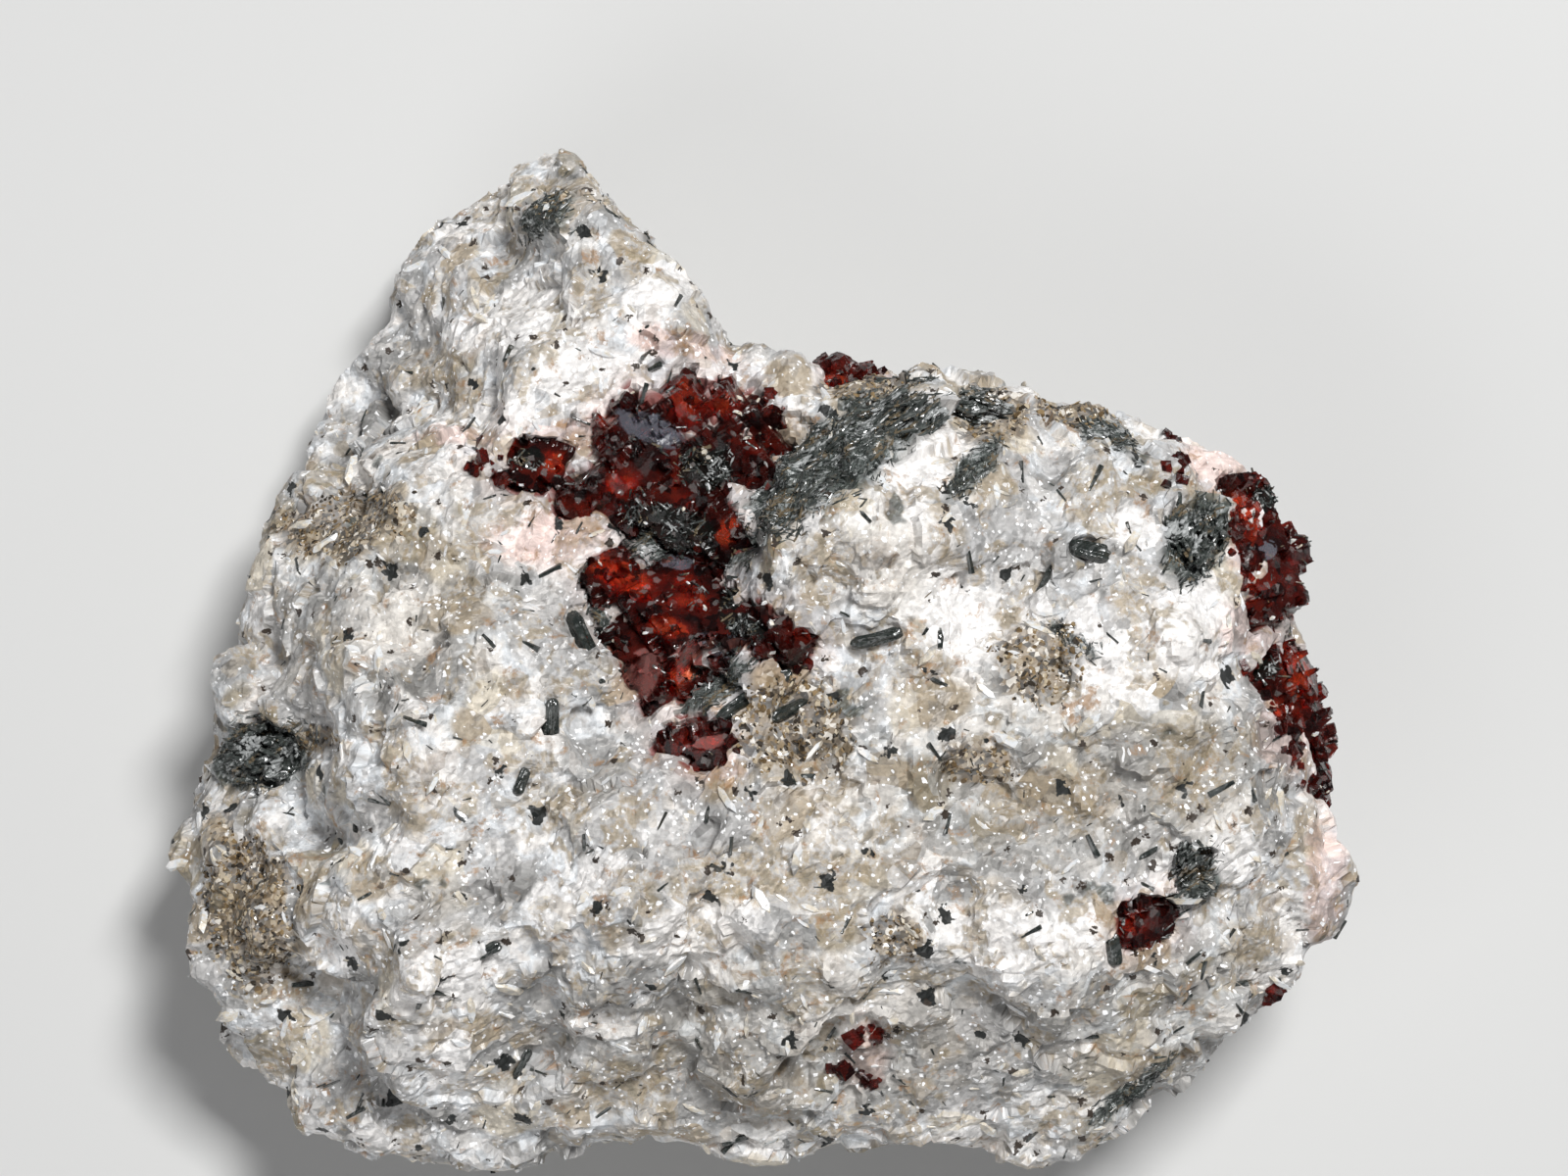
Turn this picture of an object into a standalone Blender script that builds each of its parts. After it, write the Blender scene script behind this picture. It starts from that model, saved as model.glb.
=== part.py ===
"""Villiaumite in matrix: a hand-sized lump of broken nepheline syenite that lies on its flat back.

The matrix is one grown-together rock. The villiaumite masses are blocks of red crystal with cube cleavage,
set in sockets of the rock, and the aegirine is black prisms and bundles of blades, set in the same way.
Plan positions are read from the specimen's display face, which looks up along +Z.
"""

import math

import bmesh
import bpy
import numpy as np
from mathutils import Euler, Matrix, Vector
from mathutils.bvhtree import BVHTree

MM = 0.001

# Overall size of the rock, in millimetres: it fills this box before its faces are broken.
FACE_HEIGHT = 35.0
FACE_FALL_TO_KNOB = 0.14
KNOB_STARTS_AT = 8.0
UNDERSIDE_DEPTH = 2.2
SOCKET_GAP = 0.3

# The outermost line of the rock as seen from above, anticlockwise from the right: x, y and height of each
# corner, and how square the rock's shoulder is there (2 is round, 4 is blocky).
RIM = [
    (37.1, 6.4, 24.0, 3.2),
    (36.9, 8.9, 25.0, 3.2),
    (35.7, 9.4, 25.0, 3.2),
    (35.0, 11.9, 26.0, 3.0),
    (33.8, 14.5, 27.0, 3.0),
    (31.5, 16.1, 27.0, 3.0),
    (27.8, 16.9, 27.0, 2.8),
    (24.5, 18.1, 27.0, 2.8),
    (21.7, 18.8, 27.0, 2.8),
    (18.2, 20.2, 27.0, 2.8),
    (15.0, 21.5, 27.0, 2.8),
    (11.4, 21.7, 26.5, 2.8),
    (9.7, 21.0, 26.0, 2.8),
    (8.4, 22.0, 26.0, 2.8),
    (5.1, 21.2, 25.0, 2.6),
    (3.0, 21.7, 24.0, 2.6),
    (0.9, 23.3, 24.0, 2.5),
    (-1.5, 24.2, 23.5, 2.5),
    (-4.0, 25.0, 23.0, 2.5),
    (-5.6, 26.5, 22.0, 2.5),
    (-7.0, 28.4, 22.0, 2.6),
    (-7.4, 29.9, 22.0, 2.6),
    (-8.8, 31.9, 22.0, 2.6),
    (-10.6, 32.7, 22.0, 2.6),
    (-11.7, 34.8, 21.0, 2.6),
    (-12.7, 36.5, 20.0, 2.6),
    (-13.6, 38.1, 19.0, 2.6),
    (-15.0, 39.1, 18.0, 2.6),
    (-17.2, 38.8, 17.0, 2.5),
    (-19.3, 38.0, 16.0, 2.4),
    (-21.5, 36.0, 15.0, 2.4),
    (-24.3, 34.3, 14.0, 2.4),
    (-27.1, 32.2, 13.0, 2.4),
    (-28.5, 28.8, 13.0, 2.4),
    (-28.6, 25.8, 14.0, 2.4),
    (-30.4, 24.1, 15.0, 2.5),
    (-32.8, 21.4, 15.0, 2.6),
    (-34.6, 17.4, 15.0, 2.6),
    (-35.8, 12.5, 14.0, 2.8),
    (-37.9, 7.8, 13.0, 2.9),
    (-39.3, 2.9, 12.0, 3.0),
    (-40.8, -1.0, 12.0, 3.0),
    (-41.8, -5.0, 12.0, 3.0),
    (-42.8, -8.8, 13.0, 3.0),
    (-44.0, -13.3, 14.0, 3.0),
    (-42.2, -15.2, 14.0, 3.0),
    (-42.1, -21.5, 12.0, 3.0),
    (-40.6, -23.9, 10.0, 3.0),
    (-39.4, -27.8, 8.0, 3.0),
    (-36.3, -30.1, 7.0, 3.0),
    (-34.2, -33.2, 7.0, 3.0),
    (-30.9, -34.1, 8.0, 3.0),
    (-29.4, -34.9, 8.0, 3.0),
    (-24.8, -35.1, 9.0, 2.8),
    (-21.9, -36.0, 10.0, 2.8),
    (-18.5, -36.3, 11.0, 2.8),
    (-15.9, -35.4, 12.0, 2.8),
    (-12.4, -34.2, 14.0, 2.8),
    (-8.9, -33.8, 15.0, 2.8),
    (-5.0, -34.4, 15.0, 2.8),
    (-1.0, -35.4, 15.0, 2.8),
    (3.0, -34.5, 16.0, 2.8),
    (8.4, -33.5, 16.0, 2.8),
    (14.3, -34.3, 16.0, 2.8),
    (19.3, -35.5, 16.0, 2.8),
    (22.2, -34.8, 16.0, 2.8),
    (26.8, -31.0, 17.0, 2.8),
    (31.2, -28.4, 18.0, 2.8),
    (33.0, -26.0, 18.0, 2.8),
    (35.8, -23.5, 19.0, 2.8),
    (38.2, -21.7, 20.0, 2.8),
    (38.3, -19.8, 20.0, 2.8),
    (40.2, -19.4, 21.0, 2.8),
    (41.4, -16.6, 22.0, 2.8),
    (41.5, -14.0, 22.0, 2.8),
    (40.1, -11.6, 22.0, 3.0),
    (38.7, -8.5, 23.0, 3.0),
    (39.3, -5.0, 23.0, 3.0),
    (38.9, -1.8, 23.0, 3.0),
    (37.7, 2.0, 24.0, 3.2),
]

# The long step: a ridge that crosses the display face from its upper right to its lower left, as x and y of its
# corners. The face beyond it, towards the knob, lies lower by the drop, which it reaches over the run, and then
# goes on falling by the slope.
LONG_STEP = [(46.0, 40.0), (12.1, 16.8), (5.0, 12.5), (0.5, 7.6), (-1.5, 2.0), (-4.0, -2.6), (-14.0, -12.0),
             (-22.0, -16.6), (-27.0, -20.5), (-34.0, -30.0), (-44.0, -46.0)]
LONG_STEP_DROP = 2.2
LONG_STEP_RUN = 3.2
LONG_STEP_SLOPE = 0.085

# Forms on the display face, in millimetres: x, y, length, width, turn in degrees and height (negative is a
# hollow), then how steep its sides are. They are the humps, troughs and steps that break the broad face.
FACE_FORMS = {
    "upper_red_hollow": (-5.5, 14.0, 9.0, 7.5, -10.0, -2.4, 2.0),
    "left_red_hollow": (-15.0, 13.8, 7.0, 3.0, 20.0, -1.2, 1.5),
    "lower_red_hollow": (-7.0, 3.0, 7.5, 4.8, 110.0, -2.0, 2.0),
    "aegirine_trough": (4.0, 15.4, 8.5, 3.0, 38.0, -1.0, 1.6),
    "pale_hump": (9.0, 11.0, 12.0, 6.5, 28.0, 2.2, 1.5),
    "brown_hollow": (4.2, 5.8, 3.4, 2.2, 110.0, -2.2, 1.2),
    "long_trough_lower": (-23.0, -16.4, 6.0, 2.6, 24.0, -2.2, 1.3),
    "lip_under_trough": (-21.0, -21.5, 7.0, 2.2, 20.0, 1.5, 1.4),
    "corner_trough": (-28.0, -27.0, 5.5, 2.5, 52.0, -2.6, 1.4),
    "corner_swell": (-33.0, -22.0, 8.0, 5.0, 120.0, 1.6, 1.6),
    "knob_swell": (-13.5, 27.0, 8.0, 5.0, 110.0, 1.8, 1.6),
    "knob_shoulder": (-9.0, 26.0, 3.5, 3.0, 0.0, 1.4, 1.4),
    "neck_hollow": (-23.0, 19.5, 6.0, 2.6, 30.0, -1.3, 1.4),
    "upper_left_swell": (-22.0, 14.0, 9.0, 5.0, 15.0, 1.3, 1.6),
    "middle_left_swell": (-22.0, -4.0, 9.0, 7.0, 30.0, 1.0, 1.6),
    "middle_swell": (-3.0, -16.0, 12.0, 5.0, 15.0, 1.2, 1.5),
    "pink_lump": (35.0, -3.5, 3.2, 2.6, 150.0, 1.6, 1.5),
    "right_swell": (31.0, 3.0, 6.0, 4.0, 60.0, 1.2, 1.5),
    "right_hollow": (30.5, 10.0, 3.5, 2.5, 100.0, -1.2, 1.4),
    "grey_hollow": (27.0, -7.5, 6.0, 2.5, -5.0, -1.2, 1.5),
    "lower_right_trough": (29.0, -27.0, 7.0, 2.0, 35.0, -1.8, 1.4),
    "bottom_swell": (13.0, -29.0, 6.0, 3.5, 60.0, 1.0, 1.5),
}

# Large breaks: the way each flat break faces, as azimuth and elevation in degrees, and how many millimetres it
# takes off the rock there.
BREAKS = {
    "knob_flank": (133.0, 38.0, 7.5),
    "left_wall": (172.0, 40.0, 4.5),
    "lower_left_wall": (222.0, 44.0, 3.6),
    "bottom_slope": (268.0, 46.0, 4.2),
    "lower_right_slope": (318.0, 42.0, 3.8),
    "right_slope": (8.0, 40.0, 3.4),
    "top_slope": (62.0, 44.0, 3.2),
    "under_knob": (112.0, -34.0, 4.0),
    "under_right": (20.0, -38.0, 6.5),
    "under_top_right": (60.0, -40.0, 6.0),
    "under_bottom": (275.0, -36.0, 5.0),
    "under_left": (190.0, -42.0, 2.5),
    "under_lower_right": (325.0, -32.0, 5.5),
}

# Flat chips that cover the broken rock, from coarse to fine: how wide they are, how far they tilt (as a slope),
# how far they step from each other, and a seed.
CHIPS = (
    (12.0, 0.15, 0.32, 14),
    (4.6, 0.17, 0.20, 23),
)
ROCK_TRIANGLES = 4200
ROCK_CELL = 0.6
WELD = 0.004
RIM_SECTORS = 240
EDGE_HEIGHT = 26.0
BREAK_CENTRE_HEIGHT = 14.0
BALL_DIVISIONS = 7
CHIP_CRISPNESS = 55.0
FORM_REACH = 1.3
GROUND_BLOCK = 120.0

# Villiaumite: each mass has its cube axes turned one way, in degrees, and is a run of cleavage blocks, each
# given by x, y and edge length, and on the steep right wall also by the height at which it sits.
VILLIAUMITE = {
    "villiaumite_upper_mass": (
        (24.0, -18.0, 33.0),
        [(-6.4, 17.0, 4.4), (-3.6, 16.6, 4.8), (-1.6, 15.8, 4.0), (-4.0, 14.2, 6.2), (-7.6, 14.6, 4.8),
         (-2.0, 13.2, 4.4), (-5.8, 11.9, 5.0), (-9.4, 12.7, 4.4), (-12.0, 12.0, 3.8), (-9.7, 16.2, 3.4),
         (-4.3, 10.0, 2.6), (-3.0, 8.8, 2.2)],
    ),
    "villiaumite_left_arm": (
        (12.0, 22.0, -20.0),
        [(-18.4, 14.8, 2.8), (-17.0, 14.5, 3.2), (-15.8, 14.6, 2.6)],
    ),
    "villiaumite_lower_crystal": (
        (-32.0, 14.0, 28.0),
        [(1.2, 1.4, 2.0), (-0.4, 1.4, 2.6), (-2.4, 1.2, 3.2), (-5.0, 1.8, 4.8), (-6.8, 3.4, 5.4),
         (-8.9, 4.8, 4.6), (-11.4, 6.1, 3.2), (-8.0, 0.6, 4.8), (-8.0, -1.4, 4.2), (-5.0, -0.2, 3.8)],
    ),
    "villiaumite_lower_grain": (
        (18.0, -25.0, 10.0),
        [(-5.6, -5.9, 2.6), (-3.9, -5.7, 2.4)],
    ),
    "villiaumite_top_edge_grain": (
        (30.0, 25.0, 40.0),
        [(4.6, 20.0, 2.8), (6.4, 19.9, 2.4)],
    ),
    "villiaumite_right_mass": (
        (-15.0, 30.0, 12.0),
        [(33.0, 11.4, 3.0, 25.6), (33.6, 9.0, 3.6, 26.2), (33.0, 6.2, 3.8, 27.4), (34.8, 5.4, 3.4, 26.4),
         (33.3, 3.9, 3.0, 27.6), (35.6, 8.0, 2.8, 25.0)],
    ),
    "villiaumite_right_lower_mass": (
        (35.0, -20.0, 25.0),
        [(34.4, -0.9, 2.8, 27.2), (36.0, -0.8, 3.2, 26.0), (36.6, -2.7, 3.4, 24.8), (37.4, -4.8, 3.0, 23.4),
         (37.6, -7.2, 2.6, 22.6), (38.0, -8.9, 2.0, 22.2)],
    ),
    "villiaumite_lone_grain": (
        (28.0, 28.0, 18.0),
        [(24.8, -17.8, 2.4), (26.2, -17.6, 2.0)],
    ),
}

# Aegirine prisms: x, y, length, thickness and turn in degrees.
PRISMS = {
    "aegirine_prism_left": (-15.0, -4.0, 2.7, 1.15, 97.0),
    "aegirine_prism_lower_left": (-17.0, -8.2, 1.9, 0.8, 62.0),
    "aegirine_prism_long": (-12.6, 1.2, 6.4, 1.2, 98.0),
    "aegirine_prism_curved_run": (-1.2, -2.4, 6.0, 0.9, 33.0),
    "aegirine_prism_short_run": (1.4, -3.4, 3.4, 0.8, 24.0),
    "aegirine_prism_middle": (7.2, 1.4, 3.6, 0.9, 18.0),
    "aegirine_prism_right": (21.8, 7.3, 2.8, 1.3, -20.0),
    "aegirine_prism_slanted": (18.6, 5.2, 3.0, 0.9, 42.0),
    "aegirine_prism_lower_right": (23.5, -19.8, 2.2, 1.0, 104.0),
    "aegirine_prism_bottom": (-17.4, -27.9, 2.6, 0.7, 78.0),
    "aegirine_prism_corner": (-19.3, -20.0, 2.0, 0.9, 38.0),
}

# Aegirine bundles: felted blades that lie side by side. x, y, length, width, turn in degrees and blade count.
BUNDLES = {
    "aegirine_band": (6.4, 14.5, 11.4, 4.8, 40.0, 5),
    "aegirine_left_patch": (-36.4, -5.8, 6.6, 4.0, 8.0, 4),
    "aegirine_right_patch": (29.2, 9.0, 5.6, 3.8, 62.0, 4),
    "aegirine_top_patch": (15.0, 18.0, 4.6, 3.6, 20.0, 3),
    "aegirine_lower_right_patch": (28.8, -14.0, 4.0, 2.2, 66.0, 3),
}

BLADE_DEPTH = 2.6
BLADE_SINK = 0.3
BLADE_OVERLAP = 1.5
PRISM_SIDES = 6
PRISM_TIP = 0.55
PRISM_SHOULDER = 0.72
PRISM_FLATNESS = 0.8
BLOCK_SINK = 0.47
BLOCK_STEP = 0.5
BLOCK_TURN_SCATTER = 7.0
PRISM_SINK = 0.18

FINISHES = {
    "matrix": ((0.62, 0.59, 0.55, 1.0), 0.55),
    "villiaumite": ((0.28, 0.02, 0.012, 1.0), 0.15),
    "aegirine": ((0.025, 0.035, 0.030, 1.0), 0.40),
}


def clear_scene():
    for old in list(bpy.data.objects):
        bpy.data.objects.remove(old)


def finish_of(name):
    """The material of that name, made the first time it is asked for."""
    made = bpy.data.materials.get(name)
    if made is None:
        colour, roughness = FINISHES[name]
        made = bpy.data.materials.new(name)
        made.use_nodes = True
        shader = made.node_tree.nodes["Principled BSDF"]
        shader.inputs["Base Color"].default_value = colour
        shader.inputs["Roughness"].default_value = roughness
    return made


def add_object(name, mesh, finish):
    """A piece of the specimen, from a mesh that is in metres."""
    made = bpy.data.objects.new(name, mesh)
    bpy.context.scene.collection.objects.link(made)
    mesh.materials.append(finish_of(finish))
    return made


def helper_object(name, mesh):
    """An object that only cuts or is joined to another, and isn't a piece itself."""
    made = bpy.data.objects.new(name, mesh)
    made.hide_render = True
    made.display_type = "WIRE"
    return made


def mesh_from(name, points, faces):
    """A mesh from points in millimetres."""
    mesh = bpy.data.meshes.new(name)
    mesh.from_pydata([tuple(p) for p in np.asarray(points) * MM], [], [tuple(f) for f in faces])
    mesh.update()
    return mesh


def smooth_step(t):
    t = np.clip(t, 0.0, 1.0)
    return t * t * (3.0 - 2.0 * t)


def rim_at(angle):
    """The rim's radius, height and squareness in each direction, read along the rim's corners."""
    rim = np.array(RIM)
    turn = np.arctan2(rim[:, 1], rim[:, 0])
    order = np.argsort(turn)
    turn, rim = turn[order], rim[order]
    radius = np.hypot(rim[:, 0], rim[:, 1])
    read = [np.interp(angle, turn, column, period=2.0 * math.pi) for column in (radius, rim[:, 2], rim[:, 3])]
    return read


def beyond_long_step(x, y):
    """How far each place lies from the long step, counted positive on its knob side."""
    nearest = np.full(x.shape, np.inf)
    side = np.zeros(x.shape)
    for (ax, ay), (bx, by) in zip(LONG_STEP, LONG_STEP[1:]):
        ux, uy = bx - ax, by - ay
        along = np.clip(((x - ax) * ux + (y - ay) * uy) / (ux * ux + uy * uy), 0.0, 1.0)
        away = np.hypot(x - ax - along * ux, y - ay - along * uy)
        closer = away < nearest
        side = np.where(closer, np.sign((x - ax) * uy - (y - ay) * ux), side)
        nearest = np.minimum(nearest, away)
    return nearest * side


def face_height(x, y):
    """The display face before it is chipped: two slopes that meet at the long step, with their forms."""
    height = FACE_HEIGHT - FACE_FALL_TO_KNOB * np.maximum(0.0, y - KNOB_STARTS_AT)
    past = beyond_long_step(x, y)
    height = height - LONG_STEP_DROP * smooth_step(past / LONG_STEP_RUN) - LONG_STEP_SLOPE * np.maximum(0.0, past)
    for px, py, length, width, turn, rise, steepness in FACE_FORMS.values():
        c, s = math.cos(math.radians(turn)), math.sin(math.radians(turn))
        along = ((x - px) * c + (y - py) * s) / length
        across = (-(x - px) * s + (y - py) * c) / width
        away = np.hypot(along, across)
        height = height + rise * smooth_step((FORM_REACH - away) * steepness / FORM_REACH)
    return height


def chips(points, width, slope, step, seed):
    """How far each point stands out on a surface broken into flat chips of about that width."""
    cell = np.floor(points / width).astype(int)
    total = np.zeros(len(points))
    weight = np.zeros(len(points))
    low = cell.min(axis=0) - 1
    size = cell.max(axis=0) - low + 2
    random = np.random.default_rng(seed)
    jitter = random.uniform(0.0, 1.0, (*size, 3))
    tilt = random.normal(0.0, slope, (*size, 3))
    level = random.normal(0.0, step, size)
    sharpness = CHIP_CRISPNESS / width**2
    for dx in (-1, 0, 1):
        for dy in (-1, 0, 1):
            for dz in (-1, 0, 1):
                near = cell + (dx, dy, dz)
                i, j, k = (near - low).T
                away = points - (near + jitter[i, j, k]) * width
                share = np.exp(-sharpness * (away**2).sum(axis=1))
                total += share * (level[i, j, k] + (away * tilt[i, j, k]).sum(axis=1))
                weight += share
    return total / np.maximum(weight, 1e-12)


def direction(azimuth, elevation):
    a, e = math.radians(azimuth), math.radians(elevation)
    return np.array([math.cos(a) * math.cos(e), math.sin(a) * math.cos(e), math.sin(e)])


def ball(divisions):
    """Points and triangles of a ball of evenly spread triangles, with a radius of 1."""
    bm = bmesh.new()
    bmesh.ops.create_icosphere(bm, subdivisions=divisions, radius=1.0)
    points = np.array([v.co for v in bm.verts])
    faces = [[v.index for v in f.verts] for f in bm.faces]
    bm.free()
    return points, faces


def normals_of(points, faces):
    faces = np.array(faces)
    a, b, c = (points[faces[:, k]] for k in range(3))
    face_normals = np.cross(b - a, c - a)
    total = np.zeros_like(points)
    for k in range(3):
        np.add.at(total, faces[:, k], face_normals)
    return total / np.maximum(np.linalg.norm(total, axis=1, keepdims=True), 1e-12)


def keep_to_rim(points):
    """Brings the chipped rock back to the rim, all round, as seen from above."""
    angle = np.arctan2(points[:, 1], points[:, 0])
    away = np.hypot(points[:, 0], points[:, 1])
    sector = ((angle / (2.0 * math.pi) + 0.5) * RIM_SECTORS).astype(int) % RIM_SECTORS
    farthest = np.zeros(RIM_SECTORS)
    np.maximum.at(farthest, sector, away)
    middles = (np.arange(RIM_SECTORS) + 0.5) / RIM_SECTORS * 2.0 * math.pi - math.pi
    share = rim_at(middles)[0] / farthest
    share = np.interp(angle, middles, share, period=2.0 * math.pi)
    return points * np.column_stack([share, share, np.ones(len(points))])


def rock_form():
    """The rock's points and triangles, before the sockets are cut."""
    unit, faces = ball(BALL_DIVISIONS)
    angle = np.arctan2(unit[:, 1], unit[:, 0])
    radius, rim_height, square = rim_at(angle)
    flat = np.clip(np.hypot(unit[:, 0], unit[:, 1]), 0.0, 1.0)
    reach = flat ** (2.0 / square)
    x = radius * reach * np.cos(angle)
    y = radius * reach * np.sin(angle)
    up = np.abs(unit[:, 2]) ** (2.0 / square)
    over = rim_height + (face_height(x, y) - rim_height) * up
    under = rim_height - (rim_height + UNDERSIDE_DEPTH) * up
    points = np.column_stack([x, y, np.where(unit[:, 2] > 0.0, over, under)])
    middle = np.array([0.0, 0.0, BREAK_CENTRE_HEIGHT])
    for azimuth, elevation, bite in BREAKS.values():
        facing = direction(azimuth, elevation)
        out = (points - middle) @ facing
        limit = out.max() - bite
        pull = np.where(out > limit, limit / np.maximum(out, 1e-9), 1.0)
        points = middle + (points - middle) * pull[:, None]
    normals = normals_of(points, faces)
    for width, slope, step, seed in CHIPS:
        points = points + normals * chips(points, width, slope, step, seed)[:, None]
    return keep_to_rim(points), faces


def settle(thing):
    """Turns what the modifiers make into the object's own mesh."""
    evaluated = thing.evaluated_get(bpy.context.evaluated_depsgraph_get())
    mesh = bpy.data.meshes.new_from_object(evaluated)
    thing.modifiers.clear()
    thing.data = mesh


def add_rock(points, faces):
    """The rock as one object of about ROCK_TRIANGLES flat faces, most of them where it is most broken."""
    rock = add_object("matrix", mesh_from("matrix", points, faces), "matrix")
    even = rock.modifiers.new("even_faces", "REMESH")
    even.mode = "VOXEL"
    even.voxel_size = ROCK_CELL * MM
    settle(rock)
    thin = rock.modifiers.new("fewer_faces", "DECIMATE")
    thin.ratio = ROCK_TRIANGLES / sum(len(face.vertices) - 2 for face in rock.data.polygons)
    return rock


def block(x, y, z, edge, turn, grow):
    """A cleavage block with its centre at x, y, z: eight corners and six faces, grown on every side."""
    half = edge / 2.0 + grow
    corners = [Vector((sx, sy, sz)) * half for sz in (-1, 1) for sy in (-1, 1) for sx in (-1, 1)]
    points = [turn @ c + Vector((x, y, z)) for c in corners]
    faces = [(0, 2, 3, 1), (4, 5, 7, 6), (0, 1, 5, 4), (2, 6, 7, 3), (0, 4, 6, 2), (1, 3, 7, 5)]
    return points, faces


def union_of(name, shapes, finish):
    """One object that is the union of the shapes, each given as points and faces."""
    first = add_object(name, mesh_from(name, *shapes[0]), finish)
    if len(shapes) > 1:
        rest = bpy.data.collections.new(name + "_blocks")
        for number, shape in enumerate(shapes[1:]):
            rest.objects.link(helper_object(f"{name}_block_{number}", mesh_from(name, *shape)))
        rest.hide_render = True
        bpy.context.scene.collection.children.link(rest)
        join = first.modifiers.new("join", "BOOLEAN")
        join.operation = "UNION"
        join.operand_type = "COLLECTION"
        join.collection = rest
    return first


def height_over(surface, x, y):
    """The height of the rock's surface at x, y, or of its nearest edge where x, y is just past it."""
    hit = surface.ray_cast(Vector((x, y, 100.0)), Vector((0.0, 0.0, -1.0)))[0]
    if hit is None:
        hit = surface.find_nearest(Vector((x, y, EDGE_HEIGHT)))[0]
    return hit.z


def heights_around(surface, x, y, reach):
    """Steps to nine places about x, y and the height of the rock's surface at each."""
    steps = [(u * reach, v * reach) for u in (-1.0, 0.0, 1.0) for v in (-1.0, 0.0, 1.0)]
    return steps, [height_over(surface, x + u, y + v) for u, v in steps]


def villiaumite_blocks(surface, axes, blocks, grow, seed):
    """The blocks of a mass. Each follows the rock, but steps only a little from its nearest earlier block."""
    random = np.random.default_rng(seed)
    shapes, centres = [], []
    for x, y, edge, *height in blocks:
        scatter = [math.radians(a + random.uniform(-BLOCK_TURN_SCATTER, BLOCK_TURN_SCATTER)) for a in axes]
        turn = Euler(scatter).to_matrix()
        heights = height or heights_around(surface, x, y, edge * 0.5)[1]
        z = sum(heights) / len(heights) - BLOCK_SINK * edge
        if centres:
            beside = min(centres, key=lambda c: math.hypot(c[0] - x, c[1] - y))[2]
            z = min(max(z, beside - BLOCK_STEP * edge), beside + BLOCK_STEP * edge)
        centres.append((x, y, z))
        shapes.append(block(x, y, z, edge, turn, grow))
    return shapes


def prism(length, thickness, grow):
    """A prism along X with blunt ends, with PRISM_SIDES sides. A grown one is a socket, with plain ends."""
    radius = thickness / 2.0 + grow
    half = length / 2.0 + grow
    shoulder = half * PRISM_SHOULDER
    rings = [(-half, PRISM_TIP), (-shoulder, 1.0), (shoulder, 1.0), (half, PRISM_TIP)]
    if grow:
        rings = [(-half, 1.0), (half, 1.0)]
    points = []
    for x, share in rings:
        for k in range(PRISM_SIDES):
            a = 2.0 * math.pi * (k + 0.5) / PRISM_SIDES
            points.append(Vector((x, math.cos(a) * radius * share, math.sin(a) * radius * share * PRISM_FLATNESS)))
    faces = [tuple(reversed(range(PRISM_SIDES)))]
    for ring in range(len(rings) - 1):
        for k in range(PRISM_SIDES):
            a, b = ring * PRISM_SIDES + k, ring * PRISM_SIDES + (k + 1) % PRISM_SIDES
            faces.append((a, b, b + PRISM_SIDES, a + PRISM_SIDES))
    faces.append(tuple(range((len(rings) - 1) * PRISM_SIDES, len(rings) * PRISM_SIDES)))
    return points, faces


def seat_on(surface, x, y, turn, reach, sink):
    """The place of a piece that lies on the rock at x, y: its X runs along the turn, its Z leaves the rock."""
    steps, heights = heights_around(surface, x, y, reach)
    rise_x = sum(u * h for (u, v), h in zip(steps, heights)) / (6.0 * reach**2)
    rise_y = sum(v * h for (u, v), h in zip(steps, heights)) / (6.0 * reach**2)
    up = Vector((-rise_x, -rise_y, 1.0)).normalized()
    heading = Vector((math.cos(math.radians(turn)), math.sin(math.radians(turn)), 0.0))
    ahead = (heading - up * heading.dot(up)).normalized()
    side = up.cross(ahead)
    centre = Vector((x, y, sum(heights) / len(heights))) - up * sink
    turned = Matrix((ahead, side, up)).transposed().to_4x4()
    return Matrix.Translation(centre) @ turned


def aegirine_prism(surface, x, y, length, thickness, turn, grow):
    points, faces = prism(length, thickness, grow)
    seat = seat_on(surface, x, y, turn, length * 0.35, PRISM_SINK * thickness)
    return [seat @ p for p in points], faces


def aegirine_blades(surface, x, y, length, width, turn, count, grow, seed):
    """Blades side by side, each overlapping the next, of uneven length and lean."""
    random = np.random.default_rng(seed)
    seat = seat_on(surface, x, y, turn, length * 0.35, BLADE_SINK)
    pitch = width / count
    shapes = []
    for k in range(count):
        across = (k - (count - 1) / 2.0) * pitch
        edge = 1.0 - 0.35 * abs(2.0 * k / (count - 1) - 1.0)
        long = length * edge * random.uniform(0.85, 1.0)
        points, faces = prism(long, BLADE_DEPTH, grow)
        wider = Matrix.Diagonal((1.0, pitch * BLADE_OVERLAP / BLADE_DEPTH, random.uniform(0.85, 1.1), 1.0))
        shift = Vector((random.uniform(-0.12, 0.12) * length, across, random.uniform(-0.15, 0.15)))
        heading = Euler((0.0, 0.0, math.radians(random.uniform(-6.0, 6.0)))).to_matrix().to_4x4()
        place = seat @ Matrix.Translation(shift) @ heading @ wider
        shapes.append(([place @ p for p in points], faces))
    return shapes


def ground_cutter():
    """Everything under z = 0, where the rock's flat resting face is."""
    points, faces = block(0.0, 0.0, -GROUND_BLOCK / 2.0, GROUND_BLOCK, Matrix.Identity(3), 0.0)
    return helper_object("ground_cutter", mesh_from("ground_cutter", points, faces))


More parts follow.
